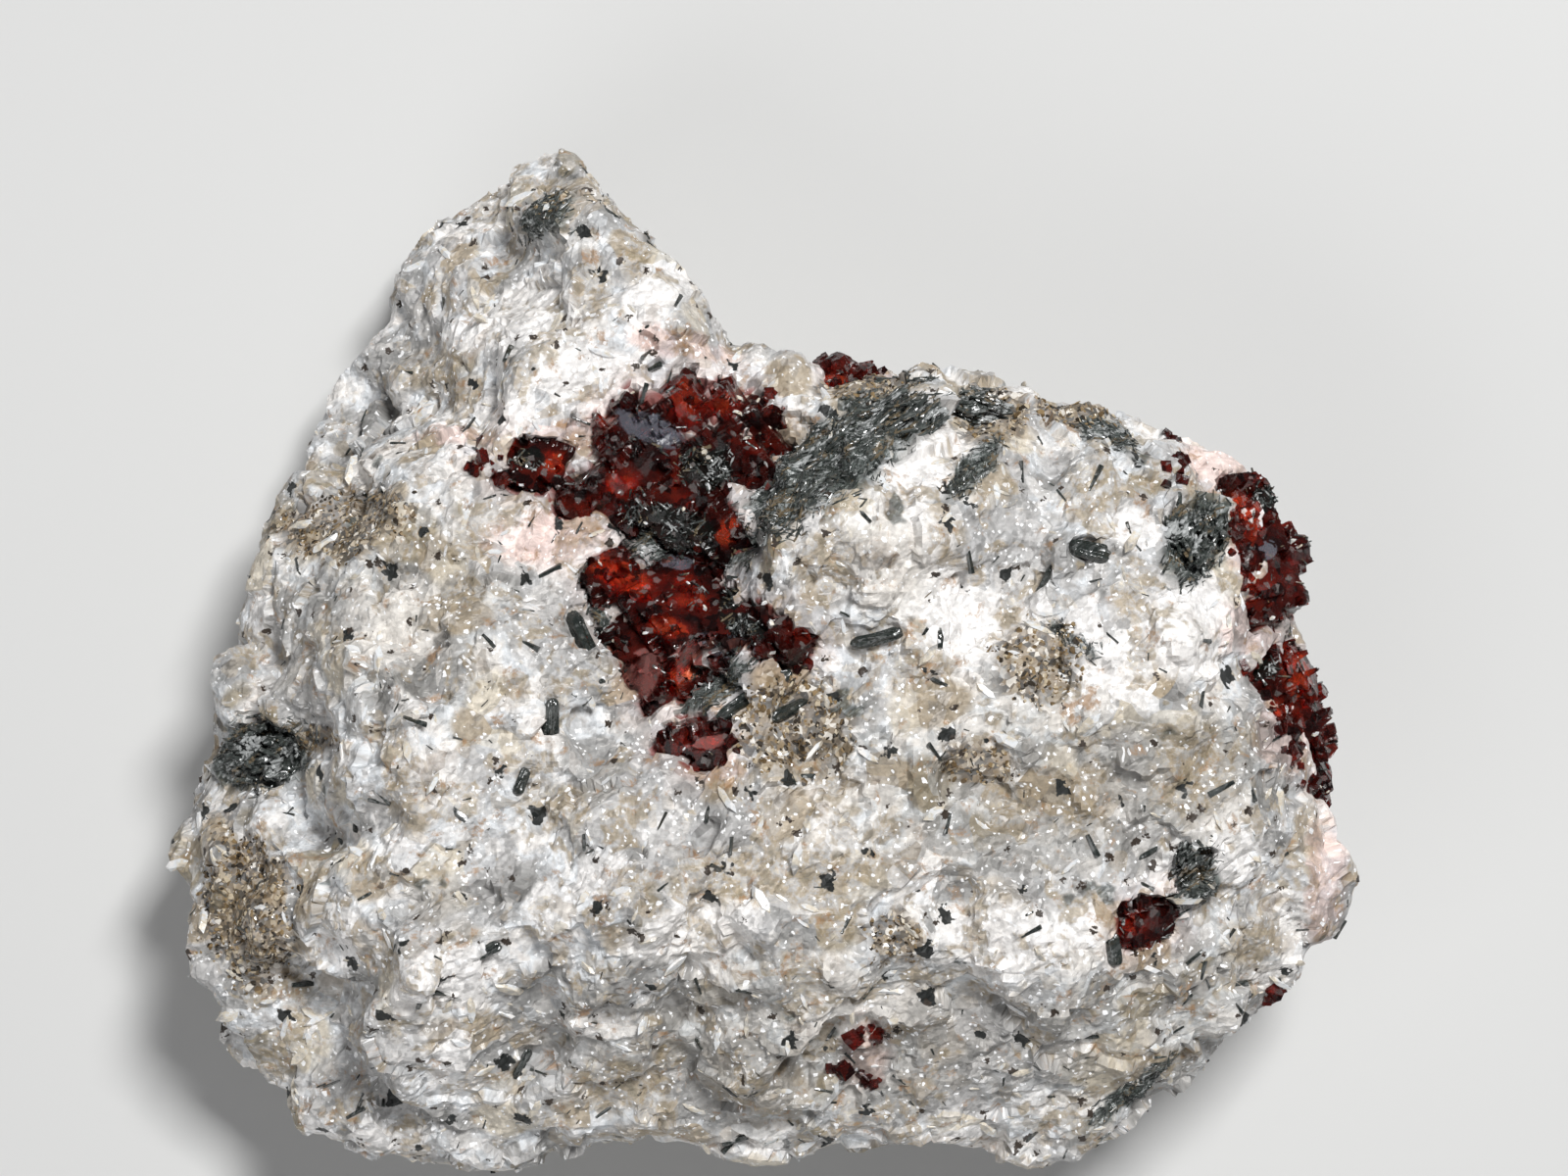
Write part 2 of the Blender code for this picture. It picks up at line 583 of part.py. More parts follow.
def clean_cuts(thing):
    """Welds corners that the cuts left almost touching, and drops the slivers that they cut free."""
    bm = bmesh.new()
    bm.from_mesh(thing.data)
    bmesh.ops.triangulate(bm, faces=bm.faces)
    bmesh.ops.remove_doubles(bm, verts=bm.verts, dist=WELD * MM)
    left = set(bm.faces)
    pieces = []
    while left:
        piece, reached = [], [left.pop()]
        while reached:
            face = reached.pop()
            piece.append(face)
            for edge in face.edges:
                for other in edge.link_faces:
                    if other in left:
                        left.remove(other)
                        reached.append(other)
        pieces.append(piece)
    pieces.sort(key=len)
    for piece in pieces[:-1]:
        bmesh.ops.delete(bm, geom=piece, context="FACES")
    bm.to_mesh(thing.data)
    bm.free()


def main():
    clear_scene()
    points, faces = rock_form()
    surface = BVHTree.FromPolygons([Vector(p) for p in points], faces)
    rock = add_rock(points, faces)

    sockets = bpy.data.collections.new("sockets")
    bpy.context.scene.collection.children.link(sockets)
    sockets.hide_render = True
    sockets.objects.link(ground_cutter())

    def set_in_rock(name, shapes_of, finish):
        """Adds the crystal at its own size, and its socket a little larger."""
        union_of(name, shapes_of(0.0), finish)
        for number, shape in enumerate(shapes_of(SOCKET_GAP)):
            sockets.objects.link(helper_object(f"socket_{name}_{number}", mesh_from(name, *shape)))

    for seed, (name, (axes, blocks)) in enumerate(VILLIAUMITE.items()):
        set_in_rock(name, lambda grow: villiaumite_blocks(surface, axes, blocks, grow, seed), "villiaumite")
    for name, (x, y, length, thickness, turn) in PRISMS.items():
        set_in_rock(name, lambda grow: [aegirine_prism(surface, x, y, length, thickness, turn, grow)], "aegirine")
    for seed, (name, sizes) in enumerate(BUNDLES.items()):
        set_in_rock(name, lambda grow: aegirine_blades(surface, *sizes, grow, seed), "aegirine")

    cut = rock.modifiers.new("sockets", "BOOLEAN")
    cut.operation = "DIFFERENCE"
    cut.operand_type = "COLLECTION"
    cut.collection = sockets
    settle(rock)
    clean_cuts(rock)


main()
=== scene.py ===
import math

import bmesh
import bpy
import numpy as np
from mathutils import Euler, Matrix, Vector
from mathutils import noise as soft_noise
from mathutils.bvhtree import BVHTree


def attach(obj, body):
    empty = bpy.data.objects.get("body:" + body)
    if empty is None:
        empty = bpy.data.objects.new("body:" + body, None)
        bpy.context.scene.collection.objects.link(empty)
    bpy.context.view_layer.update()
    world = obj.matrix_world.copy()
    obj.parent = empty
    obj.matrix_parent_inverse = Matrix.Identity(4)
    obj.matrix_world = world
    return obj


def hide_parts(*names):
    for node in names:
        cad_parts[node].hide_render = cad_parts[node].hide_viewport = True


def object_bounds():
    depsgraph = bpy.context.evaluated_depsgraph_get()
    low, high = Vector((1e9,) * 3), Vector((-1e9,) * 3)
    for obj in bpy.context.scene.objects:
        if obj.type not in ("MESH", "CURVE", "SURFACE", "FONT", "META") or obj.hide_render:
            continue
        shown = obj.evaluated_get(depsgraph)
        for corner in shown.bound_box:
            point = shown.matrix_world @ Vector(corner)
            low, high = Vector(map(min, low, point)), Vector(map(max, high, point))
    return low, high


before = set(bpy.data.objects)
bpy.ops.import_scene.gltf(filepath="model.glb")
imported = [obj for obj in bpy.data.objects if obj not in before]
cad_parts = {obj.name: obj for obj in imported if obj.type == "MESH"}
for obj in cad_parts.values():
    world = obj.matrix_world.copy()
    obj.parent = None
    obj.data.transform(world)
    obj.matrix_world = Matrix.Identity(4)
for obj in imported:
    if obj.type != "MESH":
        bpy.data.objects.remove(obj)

cad_box = [list(corner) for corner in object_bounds()]

# The rock: one lump of coarse nepheline syenite, grown together from white feldspar, grey and tan nepheline
# and fine white albite, and broken off the outcrop with a hammer. Nothing in it was made or fixed: its relief
# is the grains that the break went round or through.

MM = 0.001
ROCK_CELL = 0.475 * MM
ROCK_SOFTENING = 5

# Patches of the display face: x, y, half length and half width in millimetres, and turn in degrees if any.
ROCK_PATCHES = {
    "aegirine": [
        (4.4, 14.0, 7.7, 2.9, 40), (-36.8, -6.0, 3.9, 2.2, 5), (29.3, 8.5, 3.2, 2.0, 60),
        (23.5, 16.0, 2.0, 1.1, -30), (-16.2, 32.3, 2.0, 1.3, 30), (25.4, -29.8, 3.5, 0.7, 40),
        (-5.2, 8.6, 4.6, 2.0, 0), (13.9, 13.0, 2.5, 1.0, 50), (29.3, -14.6, 1.4, 2.0, 0),
        (-3.6, -1.4, 2.8, 1.1, 35), (-11.9, 3.6, 3.0, 0.5, -73), (20.6, 1.4, 2.4, 0.4, -35),
        (-12.6, 6.2, 0.9, 0.6, 0),
    ],
    "spangle": [
        (15.3, 17.4, 2.5, 2.4), (-37.2, -16.8, 3.5, 5.6, 10), (1.5, -4.2, 3.9, 3.5), (18.4, 0.0, 2.9, 2.9),
        (-30.2, 10.2, 5.3, 2.5), (8.3, -18.9, 2.0, 1.7), (14.6, -7.0, 2.5, 1.5), (6.9, 19.6, 3.1, 1.5),
        (-32.3, -5.0, 2.0, 1.0), (21.2, 17.5, 3.1, 1.0, -12), (-15.9, 33.2, 1.7, 1.0, 30),
    ],
    "tan": [
        (-12.7, 26.6, 1.3, 2.1), (-9.6, 28.6, 1.1, 1.8), (-25.0, 22.1, 2.8, 1.7), (-24.5, -10.2, 1.0, 1.8),
        (-21.1, 5.3, 1.1, 1.1), (3.7, 6.3, 2.2, 2.4), (22.3, 11.9, 2.0, 2.2), (-9.2, -15.4, 2.0, 1.4),
        (2.0, -21.4, 1.3, 1.8), (33.5, -19.3, 2.0, 1.8), (0.9, -14.7, 7.0, 2.1), (28.6, -7.4, 2.7, 3.2),
        (-15.9, 34.7, 1.8, 1.1, 20), (-25.7, -7.7, 1.1, 2.8), (-14.5, -9.8, 1.4, 2.4, 70),
        (10.0, -0.7, 2.1, 1.5), (20.9, -10.5, 1.8, 1.4), (-10.3, -29.4, 3.5, 1.8), (-34.1, -22.4, 1.5, 1.1),
        (24.7, 4.2, 1.4, 1.7),
    ],
    "grey": [
        (-10.3, -9.1, 4.9, 2.9, 50), (16.3, 7.0, 4.2, 3.4), (0.2, 23.5, 5.6, 1.5, -12),
        (-13.8, 2.1, 3.4, 3.9), (-22.2, -17.5, 6.3, 2.4, 22), (18.4, -14.0, 4.2, 3.9),
        (-28.5, -28.0, 4.9, 3.4, 40), (14.9, -26.6, 6.3, 3.9), (-3.3, -28.7, 5.6, 3.5),
        (26.8, -7.7, 5.6, 3.9), (-34.1, -0.7, 1.8, 4.9, 10), (-4.7, -11.9, 5.6, 2.1, 30),
        (-14.5, -28.0, 4.2, 2.8),
    ],
    "white": [
        (-17.3, 25.2, 4.2, 2.9), (-13.1, 20.3, 4.9, 2.0, -10), (-15.9, 8.4, 3.5, 2.4),
        (10.7, 13.3, 4.2, 2.0, 35), (12.1, 2.1, 4.2, 2.9), (28.2, 2.1, 4.2, 3.5),
        (31.0, 14.0, 2.8, 1.4, -20), (-4.7, -18.2, 4.9, 2.1, 10), (22.6, -0.7, 3.5, 2.7),
        (-20.1, 17.5, 4.2, 2.0), (31.7, -12.6, 2.9, 2.8), (8.3, 7.0, 3.9, 3.9), (-22.2, -21.7, 4.2, 1.7, 20),
        (15.6, -18.9, 4.2, 2.8), (-25.7, 2.8, 3.5, 2.8), (5.1, -23.8, 3.5, 2.5), (-8.9, 25.2, 1.4, 2.8),
        (20.5, -19.6, 2.8, 2.1),
    ],
    # Painted light: the glow and ember patches paint light coming back out through the red crystals, bright
    # or dull.
    "painted_glow": [
        (-10.6, 6.5, 1.9, 1.0, -35), (-6.8, 2.3, 1.3, 0.6, -15), (-6.2, -1.1, 1.1, 0.6, 60),
        (-3.0, 9.1, 0.8, 0.9), (36.9, -0.6, 0.9, 1.8, 20), (32.4, 11.6, 0.9, 0.5),
    ],
    "painted_ember": [
        (-6.2, 18.5, 1.6, 1.3), (-3.5, 18.2, 1.4, 1.0), (-5.5, 4.8, 1.0, 1.4, 20), (-10.6, 12.5, 1.3, 1.2),
        (-11.5, 17.1, 0.7, 0.6), (-18.8, 15.4, 0.9, 0.6), (-15.2, 14.2, 1.0, 0.8), (33.6, 10.2, 1.1, 1.6),
        (35.0, -3.0, 1.2, 0.8), (4.6, 20.2, 1.0, 0.9), (-4.6, -5.4, 1.6, 0.7), (24.6, -17.9, 1.0, 0.7),
        (33.4, 5.6, 1.2, 1.0),
    ],
    # Painted reflections on flat cleavage faces of the red crystals: a blue-grey painted reflection, and a
    # pale rose painted sheen.
    "painted_slate_reflection": [
        (-8.4, 16.3, 2.4, 1.0, -25), (-3.2, 1.0, 2.0, 0.7, -10), (-6.6, 7.1, 1.3, 0.5, -15),
        (34.6, 8.0, 0.8, 0.6, 30),
    ],
    "painted_rose_sheen": [
        (-5.5, 0.0, 1.6, 1.0, 60), (-9.0, -1.2, 2.0, 1.3, 60), (-7.7, 9.2, 0.9, 0.4, -30),
        (-3.9, -5.6, 1.6, 0.5, 10), (-4.1, 1.5, 0.5, 0.3, 20),
    ],
    "dark_mat": [
        (-7.0, 9.6, 3.4, 1.3, -20), (-4.5, 13.6, 1.8, 1.5), (-2.2, 5.0, 1.8, 0.9, 60),
        (-16.9, 14.3, 1.2, 0.7), (34.8, 12.0, 1.0, 1.0), (34.2, -0.4, 1.3, 0.7, 20),
        (-1.9, 2.4, 1.6, 0.8, -30),
    ],
    # Painted shade: broad patches where the rock's colour is darkened.
    "painted_shade": [
        (17.7, -8.0, 12.5, 6.5), (28.5, -7.5, 6.5, 5.0), (1.0, -26.0, 15.0, 6.0),
        (26.0, -25.0, 9.5, 6.5, 30), (-26.0, 3.0, 8.0, 6.0), (8.0, 6.0, 3.0, 3.5),
    ],
    "red_grains": [
        (27.7, 13.3, 1.0, 0.7, 20), (28.3, 15.9, 0.7, 0.5), (35.4, -23.3, 0.7, 0.6), (6.7, -25.7, 0.9, 0.5),
        (6.9, -29.0, 0.7, 0.7), (4.7, -28.0, 0.5, 0.4), (-4.2, 8.4, 2.0, 1.6), (37.8, -8.0, 0.8, 0.7),
        (-0.2, 17.6, 1.0, 1.6), (-13.6, 11.0, 1.0, 0.8), (-20.2, 14.0, 0.9, 0.5), (1.9, 0.6, 1.2, 0.4, 20),
        (-3.2, -6.4, 1.0, 0.4, 20), (5.6, 21.2, 1.2, 0.6), (33.2, 8.8, 1.3, 3.6, 5),
        (36.0, -3.2, 1.0, 3.4, 15), (34.6, -0.6, 1.4, 0.9),
    ],
    "closed_over": [
        (-20.2, 15.4, 2.2, 2.7), (-16.4, 17.0, 3.6, 1.5, -5), (2.7, 2.9, 1.7, 1.3),
    ],
    "pink": [
        (-15.5, 8.8, 4.1, 2.0, 10), (33.8, 2.5, 2.8, 2.2), (35.9, -4.9, 2.4, 3.2, 10),
        (31.4, 14.0, 2.9, 1.7, -20), (-4.1, -7.4, 2.4, 1.1), (38.9, -15.4, 1.4, 4.2),
        (-22.2, 16.5, 3.1, 0.8, -10), (-13.8, 16.1, 2.8, 1.0), (7.9, 20.7, 1.7, 0.8), (32.6, 8.4, 1.0, 2.8),
        (-6.1, 22.4, 3.5, 1.0, -10), (6.5, -27.3, 1.7, 2.4),
    ],
}
PATCHES_START_AT = 9.0
PATCHES_FULL_AFTER = 4.0
# How dull the painted ember glow is beside the full painted glow.
PAINTED_EMBER_SHARE = 0.42
RIM_STEEPNESS = 4.0
RIM_WANDER = 0.9

# How the rock runs on under the red crystals, sunk below their faces, or closes over them in a thin skin.
UNDER_CRYSTAL = 1.5 * MM
UNDER_UNEVEN = 0.9 * MM
UNDER_WANDER = 900.0
UNDER_STARTS_AT = 0.75 * MM
UNDER_EDGE = 0.25 * MM
CRYSTAL_SKIN = 0.45 * MM
CLOSED_BY = 0.30 * MM
STAIN_REACH = 2.4 * MM
CLEAR_OF_AEGIRINE = 0.25 * MM
CLEAR_OF_TABLE = 0.3
FARTHEST_RED = 4.0 * MM
FARTHEST_AEGIRINE = 2.0 * MM


def settle(thing):
    """Works the object's modifiers into its mesh and takes them off."""
    mesh = bpy.data.meshes.new_from_object(thing.evaluated_get(bpy.context.evaluated_depsgraph_get()))
    thing.modifiers.clear()
    thing.data = mesh


def put_in_scene(name, data):
    """A new object with that mesh, lamp or camera."""
    thing = bpy.data.objects.new(name, data)
    bpy.context.scene.collection.objects.link(thing)
    return thing


def made_of(bm, name):
    """A new object with that mesh."""
    mesh = bpy.data.meshes.new(name)
    bm.to_mesh(mesh)
    bm.free()
    return put_in_scene(name, mesh)


def merged_copy(node, name):
    """A new object with the mesh of a solid, its doubled corners merged."""
    bm = bmesh.new()
    bm.from_mesh(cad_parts[node].data)
    bmesh.ops.remove_doubles(bm, verts=bm.verts, dist=1e-6)
    return made_of(bm, name)


def even_out(thing, cell, smoothing):
    """Rebuilds the object's surface from even faces of that size, and softens its edges that many times."""
    remesh = thing.modifiers.new("even_faces", "REMESH")
    remesh.mode = "VOXEL"
    remesh.voxel_size = cell
    soften = thing.modifiers.new("soften", "SMOOTH")
    soften.iterations = smoothing
    settle(thing)


def corner_values(mesh, what):
    values = np.empty(len(mesh.vertices) * 3, dtype=np.float32)
    mesh.vertices.foreach_get(what, values)
    return values.reshape(-1, 3)


def corner_places(mesh):
    return corner_values(mesh, "co")


def corner_normals(mesh):
    return corner_values(mesh, "normal")


def move_corners(mesh, places):
    mesh.vertices.foreach_set("co", places.astype(np.float32).ravel())


def keep_values(mesh, name, values):
    """Keeps a number or a vector for each corner of the mesh under that name."""
    kind, field = ("FLOAT", "value") if values.ndim == 1 else ("FLOAT_VECTOR", "vector")
    mesh.attributes.new(name, kind, "POINT").data.foreach_set(field, values.astype(np.float32).ravel())


def keep_in_box(mesh):
    """Holds every corner of the mesh inside the solid model's own box."""
    move_corners(mesh, np.clip(corner_places(mesh), np.array(cad_box[0]), np.array(cad_box[1])))
    mesh.update()


def keep_largest_piece(mesh):
    """Drops everything that isn't joined to the largest piece of the mesh."""
    ends = np.empty(len(mesh.edges) * 2, dtype=np.int32)
    mesh.edges.foreach_get("vertices", ends)
    ends = ends.reshape(-1, 2)
    label = np.arange(len(mesh.vertices))
    while True:
        low = np.minimum(label[ends[:, 0]], label[ends[:, 1]])
        before = label.copy()
        np.minimum.at(label, ends[:, 0], low)
        np.minimum.at(label, ends[:, 1], low)
        label = label[label]
        if (label == before).all():
            break
    loose = np.flatnonzero(label != np.bincount(label).argmax())
    bm = bmesh.new()
    bm.from_mesh(mesh)
    bm.verts.ensure_lookup_table()
    bmesh.ops.delete(bm, geom=[bm.verts[i] for i in loose], context="VERTS")
    bm.to_mesh(mesh)
    bm.free()


def patch_strength(places, patches):
    """1 inside the patches, falling through 0.5 at their rims, on the display face only."""
    best = np.zeros(len(places))
    for x, y, length, width, *turn in patches:
        turn = math.radians(sum(turn))
        c, s = math.cos(turn), math.sin(turn)
        along = ((places[:, 0] - x) * c + (places[:, 1] - y) * s) / length
        across = (-(places[:, 0] - x) * s + (places[:, 1] - y) * c) / width
        best = np.maximum(best, np.clip(1.5 - np.hypot(along, across), 0.0, 1.0))
    return best * np.clip((places[:, 2] - PATCHES_START_AT) / PATCHES_FULL_AFTER, 0.0, 1.0)


def painted_glow_strength(places):
    """How brightly light is painted as coming back out of the red crystals there: a painted glow in full, or
    a dull painted ember.
    """
    full = patch_strength(places, ROCK_PATCHES["painted_glow"])
    return np.maximum(full, PAINTED_EMBER_SHARE * patch_strength(places, ROCK_PATCHES["painted_ember"]))


def ragged(strength, wander, rim=0.42, least=0.0):
    """1 well inside a patch, and the least value outside, with a steep rim that wanders."""
    return np.clip((strength + wander - rim) * RIM_STEEPNESS, least, 1.0)


def patch_headings(places, patches):
    """Which way the nearest patch runs, at each place."""
    middles = np.array([patch[:2] for patch in patches])
    nearest = np.hypot(*(places[:, None, :2] - middles[None]).transpose(2, 0, 1)).argmin(axis=1)
    turn = np.radians([patches[k][4] for k in nearest])
    return np.column_stack([np.cos(turn), np.sin(turn), np.zeros(len(turn))])


def add(tree, kind, inputs=None, **settings):
    """A node of that kind. Each input is a plain value, or an output that is linked to it."""
    made = tree.nodes.new(kind)
    for name, value in settings.items():
        setattr(made, name, value)
    for name, value in (inputs or {}).items():
        if isinstance(value, bpy.types.NodeSocket):
            tree.links.new(value, made.inputs[name])
        else:
            made.inputs[name].default_value = value
    return made


def maths(tree, what, *values):
    return add(tree, "ShaderNodeMath", dict(enumerate(values)), operation=what).outputs[0]


def vectors(tree, what, *values):
    made = add(tree, "ShaderNodeVectorMath", dict(enumerate(values)), operation=what)
    return made.outputs["Value" if what == "DOT_PRODUCT" else "Vector"]


def scaled(tree, vector, by):
    return add(tree, "ShaderNodeVectorMath", {0: vector, "Scale": by}, operation="SCALE").outputs[0]


def noise(tree, place, scale, detail=2.0, roughness=0.5, output="Fac"):
    inputs = {"Vector": place, "Scale": scale, "Detail": detail, "Roughness": roughness}
    return add(tree, "ShaderNodeTexNoise", inputs).outputs[output]


def cells(tree, place, scale):
    return add(tree, "ShaderNodeTexVoronoi", {"Vector": place, "Scale": scale})


def warped(tree, place, scale, reach):
    """The place, pushed about by slow noise, so that grains get uneven outlines."""
    push = vectors(tree, "SUBTRACT", noise(tree, place, scale, 2.0, output="Color"), (0.5, 0.5, 0.5))
    return vectors(tree, "ADD", place, scaled(tree, push, reach))


# The sizes that the relief and the colours of the grains share, per millimetre.
GRAIN_WARP = (0.22, 2.4)
LARGE_GRAIN = 0.28
SMALL_GRAIN = 0.85
SUGAR_GRAIN = 2.7


def new_geometry_tree(name, sizes):
    """An empty Geometry Nodes tree with a geometry in and out, and a named number for each size."""
    tree = bpy.data.node_groups.new(name, "GeometryNodeTree")
    tree.interface.new_socket("Geometry", in_out="INPUT", socket_type="NodeSocketGeometry")
    for label, value in sizes.items():
        size = tree.interface.new_socket(label, in_out="INPUT", socket_type="NodeSocketFloat")
        size.default_value = value
    tree.interface.new_socket("Geometry", in_out="OUTPUT", socket_type="NodeSocketGeometry")
    return tree, tree.nodes.new("NodeGroupInput").outputs, tree.nodes.new("NodeGroupOutput").inputs


def kept_value(tree, name, kind="FLOAT"):
    """What keep_values kept on the mesh under that name."""
    return add(tree, "GeometryNodeInputNamedAttribute", {"Name": name}, data_type=kind).outputs[0]


def finish_tree(tree, geometry, material, group_out):
    realized = add(tree, "GeometryNodeRealizeInstances", {"Geometry": geometry}).outputs[0]
    made = add(tree, "GeometryNodeSetMaterial", {"Geometry": realized})
    made.inputs["Material"].default_value = material
    tree.links.new(made.outputs[0], group_out[0])


def run_tree(thing, tree, values):
    """Puts the tree on the object with these values for its named inputs, and works it in."""
    modifier = thing.modifiers.new(tree.name, "NODES")
    modifier.node_group = tree
    for item in tree.interface.items_tree:
        if item.item_type == "SOCKET" and item.in_out == "INPUT" and item.name in values:
            modifier[item.identifier] = values[item.name]
    settle(thing)


def cell_facet(tree, place, cell, tilt):
    """How far a flat, tilted face of each cell stands out."""
    away = vectors(tree, "SUBTRACT", place, cell.outputs["Position"])
    lean = vectors(tree, "SUBTRACT", cell.outputs["Color"], (0.5, 0.5, 0.5))
    return maths(tree, "MULTIPLY", vectors(tree, "DOT_PRODUCT", away, lean), tilt)


def relief_tree(material):
    """Breaks the rock's surface into the faces of its large and small grains."""
    tree, given, out = new_geometry_tree(
        "broken_grains",
        {"Large step": 0.3, "Large tilt": 0.4, "Small step": 0.1, "Small tilt": 0.3, "Rough": 0.1},
    )
    place = kept_value(tree, "rest_place", "FLOAT_VECTOR")
    bent = warped(tree, place, *GRAIN_WARP)
    height = None
    for scale, size in ((LARGE_GRAIN, "Large"), (SMALL_GRAIN, "Small")):
        cell = cells(tree, bent, scale)
        level = add(tree, "ShaderNodeSeparateXYZ", {0: cell.outputs["Color"]}).outputs[2]
        level = maths(tree, "SUBTRACT", level, 0.5)
        facet = cell_facet(tree, bent, cell, given[size + " tilt"])
        rise = maths(tree, "MULTIPLY_ADD", level, given[size + " step"], facet)
        height = rise if height is None else maths(tree, "ADD", height, rise)
    grit = maths(tree, "SUBTRACT", noise(tree, place, 1.3, 3.0, 0.6), 0.5)
    height = maths(tree, "MULTIPLY_ADD", grit, given["Rough"], height)
    normal = tree.nodes.new("GeometryNodeInputNormal").outputs[0]
    offset = scaled(tree, normal, maths(tree, "MULTIPLY", height, MM))
    moved = add(tree, "GeometryNodeSetPosition", {"Geometry": given[0], "Offset": offset})
    finish_tree(tree, moved.outputs[0], material, out)
    return tree


def new_material(name):
    """A material with its Principled shader, and its tree."""
    made = bpy.data.materials.new(name)
    made.use_nodes = True
    return made, made.node_tree, made.node_tree.nodes["Principled BSDF"]


def new_group(name, inputs, outputs):
    """An empty shader node group: named numbers or vectors in, named values out."""
    tree = bpy.data.node_groups.new(name, "ShaderNodeTree")
    kinds = {float: "NodeSocketFloat", tuple: "NodeSocketVector"}
    for label, value in inputs.items():
        socket = tree.interface.new_socket(label, in_out="INPUT", socket_type=kinds[type(value)])
        socket.default_value = value
    for label, kind in outputs.items():
        tree.interface.new_socket(label, in_out="OUTPUT", socket_type=kind)
    return tree, tree.nodes.new("NodeGroupInput").outputs, tree.nodes.new("NodeGroupOutput").inputs


def placed(tree, group, inputs):
    """The group's outputs, placed in a material with these values."""
    return add(tree, "ShaderNodeGroup", inputs, node_tree=group).outputs


def mixed(tree, factor, a, b, how="MIX"):
    """Colour a, with b laid over it."""
    a, b = ((*colour, 1.0) if isinstance(colour, tuple) else colour for colour in (a, b))
    inputs = {0: factor, 6: a, 7: b}
    return add(tree, "ShaderNodeMix", inputs, data_type="RGBA", blend_type=how, clamp_factor=True).outputs[2]


def ramp(tree, value, stops, interpolation="LINEAR"):
    """A colour for each value, through stops of position and colour."""
    made = add(tree, "ShaderNodeValToRGB", {0: value})
    bar = made.color_ramp
    bar.interpolation = interpolation
    while len(bar.elements) < len(stops):
        bar.elements.new(0.5)
    for element, (position, colour) in zip(bar.elements, stops):
        element.position = position
        element.color = (*colour, 1.0)
    return made.outputs[0]


def between(tree, value, low, high, to_low=0.0, to_high=1.0):
    """The value, stretched smoothly from low..high to to_low..to_high."""
    inputs = {"Value": value, "From Min": low, "From Max": high, "To Min": to_low, "To Max": to_high}
    return add(tree, "ShaderNodeMapRange", inputs, interpolation_type="SMOOTHSTEP").outputs[0]


def parts_of(tree, colour):
    return add(tree, "ShaderNodeSeparateColor", {0: colour}).outputs


def cell_numbers(tree, place, scale):
    """Three random numbers for each cell."""
    return parts_of(tree, cells(tree, place, scale).outputs["Color"])


def kept(tree, name, output="Fac"):
    """What keep_values kept on the mesh under that name."""
    return add(tree, "ShaderNodeAttribute", None, attribute_name=name).outputs[output]


def grey_of(tree, value):
    return add(tree, "ShaderNodeCombineColor", {0: value, 1: value, 2: value}).outputs[0]


def around_half(tree, value, reach, middle):
    """The middle value, pushed up and down by how far the other lies from a half."""
    return maths(tree, "MULTIPLY_ADD", maths(tree, "SUBTRACT", value, 0.5), reach, middle)


def along_blades(tree, place, stretch):
    """The place, turned and stretched along the way that most of the blades run."""
    inputs = {"Vector": place, "Angle": BLADES_RUN}
    turned = add(tree, "ShaderNodeVectorRotate", inputs, rotation_type="Z_AXIS").outputs[0]
    return vectors(tree, "MULTIPLY", turned, stretch)


def bumped(tree, shader, strength, distance, height, faces=None):
    """Roughens the surface of the shader, over its tiny crystal faces where it has them."""
    inputs = {"Strength": strength, "Distance": distance * MM, "Height": height}
    if faces is not None:
        inputs["Normal"] = faces
    tree.links.new(add(tree, "ShaderNodeBump", inputs).outputs[0], shader.inputs["Normal"])


def glints_group():
    """Tiny crystal faces that each lean their own way, so that single ones flash in the light."""
    group, given, out = new_group(
        "tiny_crystal_faces",
        {"Place": (0.0, 0.0, 0.0), "Faces per mm": 2.5, "Lean": 0.5},
        {"Normal": "NodeSocketVector"},
    )
    face = cells(group, given["Place"], given["Faces per mm"])
    lean = scaled(group, vectors(group, "SUBTRACT", face.outputs["Color"], (0.5, 0.5, 0.5)), given["Lean"])
    normal = group.nodes.new("ShaderNodeNewGeometry").outputs["Normal"]
    group.links.new(vectors(group, "NORMALIZE", vectors(group, "ADD", normal, lean)), out["Normal"])
    return group


glints = glints_group()

BLADES_RUN = math.radians(-38.0)
WHITE_FELDSPAR = (0.84, 0.81, 0.775)
BRIGHT_FELDSPAR = (0.93, 0.905, 0.88)
COOL_FELDSPAR = (0.70, 0.725, 0.745)
GREY_NEPHELINE = (0.33, 0.325, 0.315)
SMOKY_NEPHELINE = (0.20, 0.195, 0.185)
SUGARY_ALBITE = (0.50, 0.49, 0.48)
TAN_NEPHELINE = (0.41, 0.33, 0.225)
OLIVE_NEPHELINE = (0.29, 0.24, 0.155)
CREAM_FELDSPAR = (0.66, 0.59, 0.47)
RUST = (0.34, 0.19, 0.085)
PINK_STAIN = (1.0, 0.84, 0.80)
# Painted shade that darkens broad patches of the rock.
PAINTED_SHADE_TINT = (0.80, 0.785, 0.755)
# Painted highlight: single white glints painted into the rock's colour.
PAINTED_GLINT = (0.96, 0.96, 0.96)
BLACK_SPECK = (0.014, 0.016, 0.015)
BROWN_SPECK = (0.040, 0.028, 0.020)
BLACK_AEGIRINE = (0.012, 0.016, 0.014)
GREEN_AEGIRINE = (0.042, 0.058, 0.050)
SILKY_AEGIRINE = (0.22, 0.24, 0.235)
FRAYED_AEGIRINE = (0.55, 0.56, 0.55)
RED_STAIN = (0.20, 0.022, 0.014)
# Painted shade and painted glow for the bed that is seen through the red crystals.
PAINTED_RED_SHADE = (0.012, 0.005, 0.004)
PAINTED_RED_GLOW = (0.80, 0.17, 0.075)


